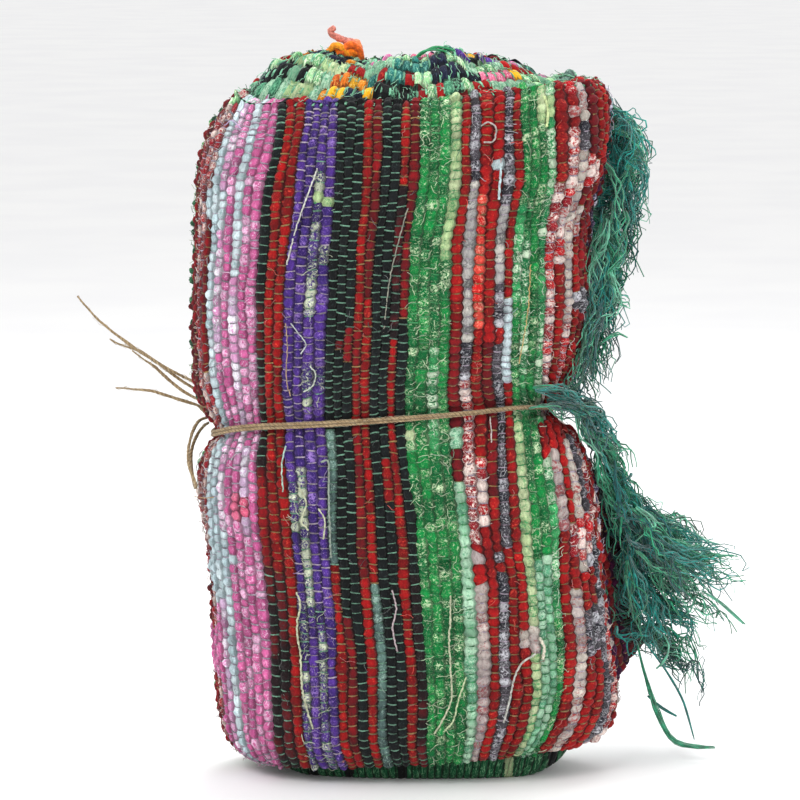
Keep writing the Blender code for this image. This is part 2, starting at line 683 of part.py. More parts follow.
def twine_wrap():
    """Two strands round the waist, side by side, which turn slowly about each other."""
    row = tie_row()
    angles, lengths, _ = arc_of(row)
    radius = STRAND / 2
    points = []
    rings = []
    for i in range(WRAP_STATIONS):
        share = i / WRAP_STATIONS
        angle = looked_up(lengths, angles, share * lengths[-1])
        lean = WRAP_TURN * (1 - math.cos(2 * math.pi * (share - WRAP_FRONT))) / 2
        reach = radius * (1 + abs(math.sin(lean)))
        out = RIB_RISE / 2 + SWELL + 2 * GAP + reach - tie_drop(share, lengths[-1])
        place = outline_point(row, angle, out)
        ahead = outline_point(row, angle + 2 * math.pi / OUTLINE_STEPS, out) - place
        away = Vector((ahead.y, -ahead.x, 0)).normalized()
        axis = away * math.sin(lean) + Vector((0, 0, math.cos(lean)))
        across = away * math.cos(lean) - Vector((0, 0, math.sin(lean)))
        ring = []
        for end in (1, -1):
            for k in range(WRAP_SIDES):
                turn = WRAP_ROUND * (k / (WRAP_SIDES - 1) - 0.5)
                ring.append(place + axis * end * radius * (WRAP_SPREAD + math.cos(turn))
                            + across * end * radius * math.sin(turn))
        rings.append(range(len(points), len(points) + len(ring)))
        points += ring
    faces = []
    for i, ring in enumerate(rings):
        faces += bridge(ring, rings[(i + 1) % WRAP_STATIONS])
    return mesh_object("twine_wrap", points, faces, COLORS["twine"])


def twine_knot():
    """The knot: a lump with three turns of strand raised round it."""
    points = []
    for j in range(1, KNOT_HIGH):
        lift = math.pi * j / KNOT_HIGH
        for i in range(KNOT_AROUND):
            turn = 2 * math.pi * i / KNOT_AROUND
            rise = 1 + KNOT_SWELL * math.cos(6 * lift + 2 * turn)
            way = (math.sin(lift) * math.cos(turn), math.sin(lift) * math.sin(turn),
                   math.cos(lift))
            points.append(KNOT + rise * Vector(a * b for a, b in zip(KNOT_RADII, way)))
    rings = [range(j * KNOT_AROUND, (j + 1) * KNOT_AROUND) for j in range(KNOT_HIGH - 1)]
    faces = []
    for low, up in zip(rings, rings[1:]):
        faces += bridge(up, low)
    for end, ring in ((1, rings[0]), (-1, rings[-1])):
        points.append(KNOT + Vector((0, 0, end * KNOT_RADII[2])))
        for i in range(KNOT_AROUND):
            pair = (ring[i], ring[(i + 1) % KNOT_AROUND])
            faces.append((*pair, len(points) - 1) if end > 0 else (*pair[::-1], len(points) - 1))
    return mesh_object("twine_knot", points, faces, COLORS["twine"])


def free_twine():
    """The four free ends and the bow's loop, each a tube from the knot's face."""
    routes = {"twine_end_a": END_A, "twine_end_b": END_B, "twine_end_c": END_C,
              "twine_end_d": END_D, "twine_loop": LOOP}
    return [tube(name, smooth_route(route, CORD_STEP * FREE_STRAND), FREE_STRAND, COLORS["twine"])
            for name, route in routes.items()]


# The whole -----------------------------------------------------------------------------

def centre_on_base(pieces):
    """Moves every piece so that the origin is the middle of the base of the given ones."""
    corners = []
    bpy.context.view_layer.update()
    graph = bpy.context.evaluated_depsgraph_get()
    for piece in pieces:
        mesh = piece.evaluated_get(graph).to_mesh()
        corners += [vertex.co.copy() for vertex in mesh.vertices]
    low = Vector([min(c[i] for c in corners) for i in range(3)])
    high = Vector([max(c[i] for c in corners) for i in range(3)])
    middle = Vector(((low.x + high.x) / 2, (low.y + high.y) / 2, low.z))
    for piece in bpy.data.collections["rag_rug"].objects:
        piece.location = -middle


def main():
    for old in list(bpy.data.objects):
        bpy.data.objects.remove(old)
    bpy.context.scene.collection.children.link(bpy.data.collections.new("rag_rug"))
    pieces = [rug_roll(), rug_loose_end(), rug_fringe(), rag_end(), twine_wrap(), twine_knot()]
    free_twine()
    centre_on_base(pieces)


main()
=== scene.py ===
"""The looks of a rolled rag rug tied with jute twine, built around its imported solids.

Lengths are in metres. The roll is laid out from its own upright line, with the front towards
-Y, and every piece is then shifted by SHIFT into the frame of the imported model.
"""

import logging
import math
from abc import ABC, abstractmethod
from dataclasses import dataclass, field
from enum import Enum
from typing import Any, NamedTuple

import bpy
import numpy as np
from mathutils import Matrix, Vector


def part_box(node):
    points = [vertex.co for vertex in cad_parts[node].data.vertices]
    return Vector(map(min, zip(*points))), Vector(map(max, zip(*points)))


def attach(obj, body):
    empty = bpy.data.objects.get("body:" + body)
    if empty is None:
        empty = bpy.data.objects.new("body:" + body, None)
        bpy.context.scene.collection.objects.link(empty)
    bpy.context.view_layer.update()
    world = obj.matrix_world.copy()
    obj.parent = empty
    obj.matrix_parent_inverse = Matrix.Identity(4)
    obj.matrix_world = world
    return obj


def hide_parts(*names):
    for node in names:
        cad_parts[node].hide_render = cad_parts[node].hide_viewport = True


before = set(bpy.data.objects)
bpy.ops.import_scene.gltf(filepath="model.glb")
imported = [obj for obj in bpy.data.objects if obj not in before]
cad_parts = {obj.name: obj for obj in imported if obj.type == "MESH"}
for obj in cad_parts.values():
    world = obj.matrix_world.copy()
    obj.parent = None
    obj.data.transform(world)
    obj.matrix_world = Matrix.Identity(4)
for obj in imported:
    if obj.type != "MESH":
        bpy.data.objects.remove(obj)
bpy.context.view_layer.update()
log = logging.getLogger("rag_rug")

Rgb = tuple[float, float, float]
Array = np.ndarray

KNOT = (-0.1566, 0.0350, 0.2998)
SHIFT = np.array(sum(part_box("twine_knot"), Vector()) / 2) - np.array(KNOT)
GIRTH = 0.009            # how far round a strand is, as its finish counts it
RIB_WIDTH = 0.0086       # how far apart neighbouring rags lie
PUFF_LENGTH = 0.00825    # how far apart the warp threads lie along a rag
THREAD_LIFT = 0.0002     # how far above a groove the middle of its warp thread lies
CLOSED = 0.05            # what is left of the width of a strand's tip or of a cap's last ring


# Yarns and rags ------------------------------------------------------------------------

@dataclass(frozen=True)
class RagYarn:
    """One kind of weft rag, with colours in sRGB from 0 to 255.

    Attributes:
        base: the rag's own colour.
        alt: the second colour that it drifts to along its length.
        fleck: colour of its fibres and flecks.
        share: how much of the surface the flecks cover, 0 to 1.
        bead: how round each puff is, 0 for a long rag and 1 for a row of beads.
        lump: how uneven its puffs are, in metres.
        warp: colour in which the warp thread over it shows.
        curls: loose curled fibres on one puff, on average.
        fluff: how far its fuzz fills the gaps beside it, 0 to 1, which flattens its relief and weakens the
            painted shade in its grooves.
    """

    base: Rgb
    alt: Rgb
    fleck: Rgb
    share: float
    bead: float
    lump: float
    warp: Rgb
    curls: float
    fluff: float = 0.15


MINT_WARP = (96, 138, 116)
TAN_WARP = (130, 104, 62)
GREY_WARP = (150, 138, 152)
LEAF_WARP = (56, 138, 82)


class Rag(Enum):
    """The rags of this rug, named by their letter in the weaver's charts."""

    K = RagYarn((7, 9, 11), (14, 18, 20), (46, 58, 56), 0.06, 0.40, 0.0006, MINT_WARP, 0.03, 0.05)
    k = RagYarn((26, 12, 15), (84, 14, 20), (60, 60, 60), 0.08, 0.45, 0.0007, MINT_WARP, 0.04, 0.1)
    R = RagYarn((148, 12, 16), (118, 9, 14), (200, 66, 48), 0.08, 0.50, 0.0012, TAN_WARP, 0.06, 0.2)
    D = RagYarn((96, 12, 20), (124, 13, 20), (60, 16, 22), 0.10, 0.48, 0.0010, TAN_WARP, 0.05, 0.2)
    S = RagYarn((182, 24, 24), (202, 66, 54), (228, 150, 130), 0.20, 0.52, 0.0014, TAN_WARP, 0.12, 0.3)
    m = RagYarn((144, 20, 36), (112, 18, 30), (206, 190, 182), 0.40, 0.45, 0.0010, GREY_WARP, 0.35, 0.5)
    x = RagYarn((170, 18, 26), (130, 20, 32), (224, 206, 198), 0.46, 0.45, 0.0011, GREY_WARP, 0.45, 0.6)
    V = RagYarn((72, 42, 126), (52, 32, 102), (136, 106, 176), 0.20, 0.45, 0.0011, GREY_WARP, 0.12, 0.45)
    v = RagYarn((70, 42, 118), (50, 32, 94), (190, 198, 172), 0.36, 0.48, 0.0014, MINT_WARP, 0.50, 0.5)
    P = RagYarn((190, 88, 140), (170, 76, 126), (216, 172, 200), 0.30, 0.40, 0.0010, GREY_WARP, 0.22, 0.7)
    p = RagYarn((192, 126, 168), (182, 152, 182), (216, 212, 220), 0.42, 0.38, 0.0010, GREY_WARP, 0.24, 0.75)
    i = RagYarn((192, 206, 210), (172, 190, 196), (146, 172, 174), 0.22, 0.48, 0.0011, GREY_WARP, 0.18, 0.75)
    G = RagYarn((12, 126, 58), (6, 92, 46), (190, 212, 170), 0.18, 0.46, 0.0014, LEAF_WARP, 0.5, 0.85)
    g = RagYarn((50, 146, 84), (20, 110, 62), (196, 216, 188), 0.38, 0.44, 0.0014, LEAF_WARP, 0.6, 0.85)
    C = RagYarn((182, 196, 152), (160, 182, 132), (96, 150, 98), 0.26, 0.60, 0.0011, LEAF_WARP, 0.30, 0.7)
    M = RagYarn((160, 194, 166), (130, 176, 144), (76, 140, 106), 0.32, 0.60, 0.0011, LEAF_WARP, 0.30, 0.7)
    W = RagYarn((184, 180, 172), (160, 158, 156), (108, 108, 108), 0.26, 0.62, 0.0010, GREY_WARP, 0.25, 0.7)
    w = RagYarn((186, 178, 168), (166, 156, 152), (150, 66, 66), 0.24, 0.36, 0.0010, GREY_WARP, 0.40, 0.75)
    B = RagYarn((36, 36, 44), (66, 62, 68), (180, 180, 186), 0.34, 0.46, 0.0011, GREY_WARP, 0.45, 0.5)
    o = RagYarn((178, 166, 160), (158, 146, 144), (136, 70, 74), 0.28, 0.62, 0.0011, GREY_WARP, 0.35, 0.75)
    q = RagYarn((84, 112, 104), (66, 86, 84), (148, 176, 164), 0.25, 0.45, 0.0008, MINT_WARP, 0.12, 0.2)
    L = RagYarn((124, 108, 146), (60, 46, 76), (206, 198, 216), 0.40, 0.55, 0.0011, GREY_WARP, 0.55, 0.6)
    N = RagYarn((22, 26, 50), (16, 18, 30), (64, 80, 100), 0.10, 0.70, 0.0014, MINT_WARP, 0.10)
    T = RagYarn((34, 112, 104), (24, 86, 82), (116, 180, 164), 0.20, 0.70, 0.0014, MINT_WARP, 0.30)
    Y = RagYarn((230, 164, 22), (214, 124, 22), (240, 206, 118), 0.16, 0.80, 0.0015, TAN_WARP, 0.12)
    O = RagYarn((216, 108, 26), (198, 78, 28), (236, 172, 84), 0.20, 0.80, 0.0015, TAN_WARP, 0.12)
    F = RagYarn((216, 104, 138), (200, 84, 116), (236, 186, 196), 0.20, 0.75, 0.0014, GREY_WARP, 0.14)
    j = RagYarn((140, 196, 138), (92, 166, 104), (218, 232, 200), 0.34, 0.85, 0.0014, LEAF_WARP, 0.40, 0.3)
    b = RagYarn((22, 28, 30), (54, 114, 86), (114, 184, 144), 0.30, 0.70, 0.0014, MINT_WARP, 0.25)
    u = RagYarn((66, 16, 50), (42, 14, 44), (108, 38, 88), 0.14, 0.50, 0.0010, TAN_WARP, 0.08)
    d = RagYarn((12, 78, 46), (8, 50, 34), (116, 168, 126), 0.20, 0.60, 0.0015, LEAF_WARP, 0.50)


RAGS = list(Rag)
RAG_NUMBER = {rag.name: number for number, rag in enumerate(RAGS)}


def charted(letters: str) -> Array:
    """The rag numbers of a charted row of letters."""
    return np.array([RAG_NUMBER[letter] for letter in letters])


class ChartRow(NamedTuple):
    """One row of the weaver's chart: the rags round the roll, from the ledge and a height up."""

    height: float
    back: str
    front: str


BACK_HIGH = "LxRkKKGgGCRBSRWKKVvVPPiPKRDKKGGgMxRSWRKKVVuDRxBGd"
BACK_LOW = "LxRKKkGGgCoBRRWKkVVvPpPPKRRKqGgGMxSRWDKKVvuRRBwGg"
STRIPE_CHART = (
    ChartRow(0.491, BACK_HIGH, "DDmmmipPiPPKRRVVVVKKKRDKKRDGGGCRBRRBRGGGgRxwDRRDL"),
    ChartRow(0.385, BACK_HIGH, "DDmmDipPiPPKRRVVvVKKKRDKKkDGGGCRWSRWRggGgxxwRDDDL"),
    ChartRow(0.285, BACK_HIGH, "DDDmmiPPpPPkRRVVVVKKKRRKKRKGGgGDBRDBiGgGgxRxRDDDL"),
    ChartRow(0.178, BACK_LOW, "mmmmiipPPpPDRRVvVVqKKDRKKRKGGGGMxxRBRCGGgoRwBxRxL"),
    ChartRow(0.000, BACK_LOW, "DDDmPpiPPPPkkRvVvVRDKRqKKRkGGGGMoRBRRCMMGRwRRBxRw"),
)

# The front edges between stripes: the rib that starts there, and its place across the
# roll at heights from the top down.
EDGE_RIBS = (60, 63, 67, 76, 80, 82, 84, 86, 90)
STRIPE_EDGES = (
    (0.600, -0.1010, -0.0780, -0.0525, 0.0165, 0.0506, 0.0655, 0.0860, 0.0985, 0.1255),
    (0.555, -0.1028, -0.0795, -0.0525, 0.0161, 0.0506, 0.0655, 0.0860, 0.0985, 0.1267),
    (0.531, -0.1054, -0.0841, -0.0527, 0.0164, 0.0506, 0.0658, 0.0855, 0.1012, 0.1278),
    (0.507, -0.1121, -0.0861, -0.0534, 0.0153, 0.0507, 0.0656, 0.0855, 0.1017, 0.1279),
    (0.470, -0.1143, -0.0889, -0.0560, 0.0106, 0.0464, 0.0627, 0.0799, 0.0945, 0.1201),
    (0.450, -0.1150, -0.0919, -0.0575, 0.0083, 0.0420, 0.0610, 0.0777, 0.0932, 0.1198),
    (0.410, -0.1195, -0.0964, -0.0595, 0.0066, 0.0414, 0.0593, 0.0770, 0.0929, 0.1204),
    (0.368, -0.1205, -0.0979, -0.0605, 0.0060, 0.0406, 0.0579, 0.0768, 0.0920, 0.1204),
    (0.327, -0.1196, -0.1001, -0.0615, 0.0033, 0.0392, 0.0572, 0.0768, 0.0919, 0.1165),
    (0.292, -0.1190, -0.0967, -0.0615, 0.0042, 0.0398, 0.0606, 0.0799, 0.0921, 0.1190),
    (0.260, -0.1208, -0.0949, -0.0600, 0.0077, 0.0433, 0.0620, 0.0799, 0.0954, 0.1237),
    (0.211, -0.1168, -0.0913, -0.0608, 0.0134, 0.0489, 0.0661, 0.0823, 0.0990, 0.1324),
    (0.170, -0.1132, -0.0873, -0.0588, 0.0170, 0.0516, 0.0720, 0.0900, 0.1051, 0.1328),
    (0.120, -0.1092, -0.0843, -0.0521, 0.0209, 0.0537, 0.0747, 0.0912, 0.1107, 0.1375),
    (0.078, -0.1077, -0.0809, -0.0514, 0.0227, 0.0549, 0.0753, 0.0934, 0.1123, 0.1361),
    (0.043, -0.1067, -0.0801, -0.0507, 0.0225, 0.0547, 0.0714, 0.0877, 0.1057, 0.1282),
    (0.020, -0.1013, -0.0759, -0.0439, 0.0239, 0.0518, 0.0656, 0.0803, 0.0955, 0.1147),
)


# Small helpers -------------------------------------------------------------------------

def linear(colour: Rgb) -> Array:
    """An sRGB colour from 0 to 255 as linear values from 0 to 1."""
    share = np.asarray(colour, float) / 255
    return np.where(share <= 0.04045, share / 12.92, ((share + 0.055) / 1.055) ** 2.4)


def rgba(colour: Rgb) -> tuple[float, float, float, float]:
    """A linear colour with full opacity, for a shader's socket."""
    red, green, blue = (float(part) for part in linear(colour))
    return red, green, blue, 1.0


def smooth(share: Any) -> Any:
    """Eased 0 to 1."""
    share = np.clip(share, 0.0, 1.0)
    return share * share * (3 - 2 * share)


def mixed(a: Any, b: Any, share: Any) -> Any:
    """A value between two others."""
    return a + (b - a) * share


def signed_power(value: Array, exponent: Any) -> Array:
    """A power that keeps the sign."""
    return np.copysign(np.abs(value) ** exponent, value)


def looked_up(table: Array, row: Array, column: Array) -> Array:
    """Bilinear reading of a table.

    Args:
        table: values by row and column, with any number of parts each.
        row: places down the table.
        column: places across the table.

    Returns:
        The values at those places.
    """
    row = np.clip(row, 0, table.shape[0] - 1.0001)
    column = np.clip(column, 0, table.shape[1] - 1.0001)
    r, c = np.floor(row).astype(int), np.floor(column).astype(int)
    down, across = row - r, column - c
    if table.ndim > 2:
        down, across = down[..., None], across[..., None]
    high = table[r, c] * (1 - across) + table[r, c + 1] * across
    low = table[r + 1, c] * (1 - across) + table[r + 1, c + 1] * across
    return high * (1 - down) + low * down


def unit(vectors: Array) -> Array:
    """Vectors of length one."""
    return vectors / np.maximum(np.linalg.norm(vectors, axis=-1, keepdims=True), 1e-12)


def run_along(points: Array) -> Array:
    """The length of a line up to each of its points."""
    return np.concatenate([[0], np.cumsum(np.linalg.norm(np.diff(points, axis=0), axis=1))])


def smooth_route(points: Any, spacing: float) -> Array:
    """Evenly spaced points on one smooth curve through a route's own points.

    Args:
        points: the route's points.
        spacing: about how far apart the new points lie.

    Returns:
        The new points, one a row.
    """
    knots = np.asarray(points, float)
    ends = np.vstack([2 * knots[0] - knots[1], knots, 2 * knots[-1] - knots[-2]])
    t = (np.arange(12) / 12)[:, None]
    fine = [0.5 * (2 * b + (c - a) * t + (2 * a - 5 * b + 4 * c - d) * t ** 2
                   + (3 * b - a - 3 * c + d) * t ** 3)
            for a, b, c, d in zip(ends, ends[1:], ends[2:], ends[3:])]
    line = np.vstack(fine + [knots[-1:]])
    lengths = run_along(line)
    wanted = np.linspace(0, lengths[-1], max(3, round(lengths[-1] / spacing) + 1))
    return np.stack([np.interp(wanted, lengths, line[:, i]) for i in range(3)], 1)


def rounded(side: Array, power: float) -> Array:
    """A round hill over places from -1 to 1, flatter on top for a lower power."""
    return np.clip(np.cos(np.pi * side / 2), 0, 1) ** power


def opaque(colours: Array) -> Array:
    """Colours kept within their range, with full opacity as their fourth part."""
    return np.concatenate([np.clip(colours, 0, 1), np.ones((*colours.shape[:-1], 1))], -1)


def cornered(values: Array) -> Array:
    """A four-part value of every quad, given to each of its four corners."""
    return np.repeat(values.reshape(-1, 4), 4, 0)


# Blender's kind of value and the name of its field, by how many parts the value has.
POINT_KINDS = {1: ("FLOAT", "value"), 3: ("FLOAT_VECTOR", "vector"), 4: ("FLOAT_COLOR", "color")}


def give_points(mesh: bpy.types.Mesh, values: dict[str, Array]) -> None:
    """Writes named values on a mesh's points.

    Args:
        mesh: the mesh.
        values: for each name, a number, a vector or a colour for every point.
    """
    for key, rows in values.items():
        kind, slot = POINT_KINDS[1 if rows.ndim == 1 else rows.shape[1]]
        layer = mesh.attributes.new(key, kind, "POINT")
        layer.data.foreach_set(slot, rows.astype(np.float32).ravel())


@dataclass
class MeshParts:
    """Vertices, quads and named values of a mesh on its way to Blender."""

    points: Array
    quads: Array
    corner_colours: dict[str, Array] = field(default_factory=dict)
    point_values: dict[str, Array] = field(default_factory=dict)

    def made(self, name: str, material: bpy.types.Material) -> bpy.types.Object:
        """Makes the mesh object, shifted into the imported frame.

        Args:
            name: the object's name.
            material: its only material.

        Returns:
            The new object, at the origin.
        """
        mesh = bpy.data.meshes.new(name)
        mesh.from_pydata((self.points + SHIFT).tolist(), [], self.quads.tolist())
        mesh.update()
        mesh.shade_smooth()
        for key, colours in self.corner_colours.items():
            layer = mesh.color_attributes.new(key, "FLOAT_COLOR", "CORNER")
            layer.data.foreach_set("color", colours.astype(np.float32).ravel())
        give_points(mesh, self.point_values)
        mesh.materials.append(material)
        return linked(bpy.data.objects.new(name, mesh))


def linked(piece: bpy.types.Object) -> bpy.types.Object:
    """The same object, put into the scene."""
    bpy.context.scene.collection.objects.link(piece)
    return piece


def dressed(piece: bpy.types.Object, nodes: tuple[str, ...]) -> bpy.types.Object:
    """The same piece, riding on the rug, standing for its solids and reported.

    Args:
        piece: the piece.
        nodes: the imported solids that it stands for, or helps to.

    Returns:
        The piece.
    """
    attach(piece, "root")
    if nodes:
        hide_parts(*nodes)
    log.info("%s: %d faces", piece.name, len(piece.data.polygons))
    return piece


def joined(parts: list[MeshParts]) -> MeshParts:
    """Several meshes as one.

    Args:
        parts: meshes that carry the same named values.

    Returns:
        One mesh of all of them.
    """
    starts = np.cumsum([0] + [len(part.points) for part in parts])
    return MeshParts(
        np.vstack([part.points for part in parts]),
        np.vstack([part.quads + start for part, start in zip(parts, starts)]),
        {key: np.vstack([part.corner_colours[key] for part in parts])
         for key in parts[0].corner_colours},
        {key: np.concatenate([part.point_values[key] for part in parts])
         for key in parts[0].point_values})


def grid_quads(rows: int, columns: int, closed: bool = False) -> Array:
    """The quads of a grid of points.

    Args:
        rows: rows of points.
        columns: points in a row.
        closed: whether each row is a ring.

    Returns:
        Point numbers, four for each quad, row after row.
    """
    across = columns if closed else columns - 1
    r, c = np.meshgrid(np.arange(rows - 1), np.arange(across), indexing="ij")
    after = (c + 1) % columns
    quads = np.stack([r * columns + c, r * columns + after,
                      (r + 1) * columns + after, (r + 1) * columns + c], -1)
    return quads.reshape(-1, 4)


def ways_across(line: Array) -> tuple[Array, Array]:
    """Two ways across a line at each of its points, which turn with it as little as they can.

    Args:
        line: the line's points.

    Returns:
        The two ways, square to each other and to the line.
    """
    ahead = unit(np.gradient(line, axis=0))
    side = np.empty_like(ahead)
    start = np.cross(ahead[0], (0.0, 0.0, 1.0))
    side[0] = start if np.linalg.norm(start) > 0.1 else np.cross(ahead[0], (1.0, 0.0, 0.0))
    for n in range(1, len(line)):
        side[n] = side[n - 1] - ahead[n] * (side[n - 1] @ ahead[n])
        side[n] /= np.linalg.norm(side[n])
    side[0] /= np.linalg.norm(side[0])
    return side, np.cross(ahead, side)


def strand_mesh(line: Array, radii: Array, sides: int, pitch: float, lobes: int = 2,
                depth: float = 0.16, capped: bool = True) -> MeshParts:
    """A twisted strand along a line.

    Args:
        line: points of the middle line.
        radii: the strand's radius at each of them.
        sides: points round the strand.
        pitch: length of one turn of its twist.
        lobes: how many plies it is twisted from.
        depth: how deep the valleys between the plies are, as a share of the radius.
        capped: whether its two ends are drawn to a point.

    Returns:
        The strand's mesh. Its value lie holds the length, the way round and the ply's height.
    """
    if capped:
        first, last = line[0] - line[1], line[-1] - line[-2]
        line = np.vstack([line[0] + unit(first) * radii[0] * 0.4, line,
                          line[-1] + unit(last) * radii[-1] * 0.4])
        radii = np.concatenate([radii[:1], radii, radii[-1:]])
    side, up = ways_across(line)
    along = run_along(line)[:, None]
    turn = np.linspace(0, 2 * np.pi, sides, endpoint=False)[None, :]
    twist = 2 * np.pi * along / pitch
    ply = np.abs(np.cos((turn - twist) * lobes / 2))
    reach = radii[:, None] * (1 - depth + depth * ply)
    if capped:
        reach[[0, -1]] *= CLOSED
    points = (line[:, None] + side[:, None] * (np.cos(turn) * reach)[..., None]
              + up[:, None] * (np.sin(turn) * reach)[..., None])
    lie = np.stack(np.broadcast_arrays(along, (turn - twist) / (2 * np.pi) * GIRTH, ply), -1)
    return MeshParts(points.reshape(-1, 3), grid_quads(len(line), sides, True),
                     point_values={"lie": lie.reshape(-1, 3)})


# The roll's form -----------------------------------------------------------------------

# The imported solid's own rows, repeated: heights on the left and on the right, reach to the
# left, right, front and back, and the exponent of the outline.
SECTIONS = np.array((
    (0.008, 0.027, 0.125, 0.162, 0.062, 0.064, 2.3),
    (0.013, 0.034, 0.139, 0.174, 0.072, 0.074, 2.4),
    (0.025, 0.048, 0.150, 0.181, 0.079, 0.080, 2.5),
    (0.048, 0.066, 0.158, 0.184, 0.083, 0.084, 2.5),
    (0.096, 0.102, 0.162, 0.178, 0.085, 0.086, 2.6),
    (0.150, 0.150, 0.163, 0.172, 0.085, 0.087, 2.6),
    (0.204, 0.208, 0.168, 0.167, 0.083, 0.085, 2.5),
    (0.244, 0.258, 0.173, 0.160, 0.080, 0.081, 2.4),
    (0.270, 0.288, 0.168, 0.147, 0.075, 0.076, 2.3),
    (0.2845, 0.3050, 0.157, 0.123, 0.067, 0.068, 2.3),
    (0.2915, 0.3120, 0.157, 0.123, 0.067, 0.068, 2.3),
    (0.307, 0.330, 0.1665, 0.141, 0.075, 0.076, 2.3),
    (0.344, 0.358, 0.178, 0.151, 0.082, 0.083, 2.4),
    (0.406, 0.408, 0.178, 0.156, 0.084, 0.085, 2.6),
    (0.460, 0.462, 0.176, 0.155, 0.084, 0.084, 2.6),
    (0.508, 0.512, 0.172, 0.168, 0.081, 0.082, 2.5),
    (0.541, 0.548, 0.163, 0.174, 0.077, 0.078, 2.4),
    (0.561, 0.570, 0.150, 0.173, 0.071, 0.072, 2.3),
    (0.573, 0.582, 0.139, 0.166, 0.062, 0.063, 2.3),
))
Z_LEFT, Z_RIGHT, LEFT, RIGHT, FRONT, BACK, ROUND = range(7)
TIED_PLACE = 9.5         # the waist, as a place in the rows above

TOP_LINE = np.array(((-0.130, 0.592), (-0.105, 0.599), (-0.060, 0.602), (0.070, 0.601),
                     (0.096, 0.597), (0.118, 0.585), (0.150, 0.584)))
# How far the front shoulder has sunk: places across, and the drop.
SHOULDER = np.array(((-0.142, 0.0250), (-0.127, 0.0200), (-0.112, 0.0130), (-0.098, 0.0090),
                     (-0.080, 0.0070), (-0.062, 0.0082), (-0.044, 0.0066), (-0.026, 0.0078),
                     (-0.008, 0.0068), (0.010, 0.0082), (0.030, 0.0090), (0.046, 0.0062),
                     (0.060, 0.0040), (0.080, 0.0030), (0.100, 0.0012), (0.115, -0.0010),
                     (0.130, -0.0036), (0.160, -0.0020)))
BASE_RINGS = np.array(((0.000, 0.0175), (0.004, 0.0225), (0.008, 0.030), (0.014, 0.016),
                       (0.021, 0.000), (0.036, 0.000), (0.042, 0.010), (0.050, 0.003),
                       (0.070, 0.006)))


def mean_height(row: Array) -> Any:
    """The height of a row, or of many, halfway between left and right."""
    return (row[..., Z_LEFT] + row[..., Z_RIGHT]) / 2


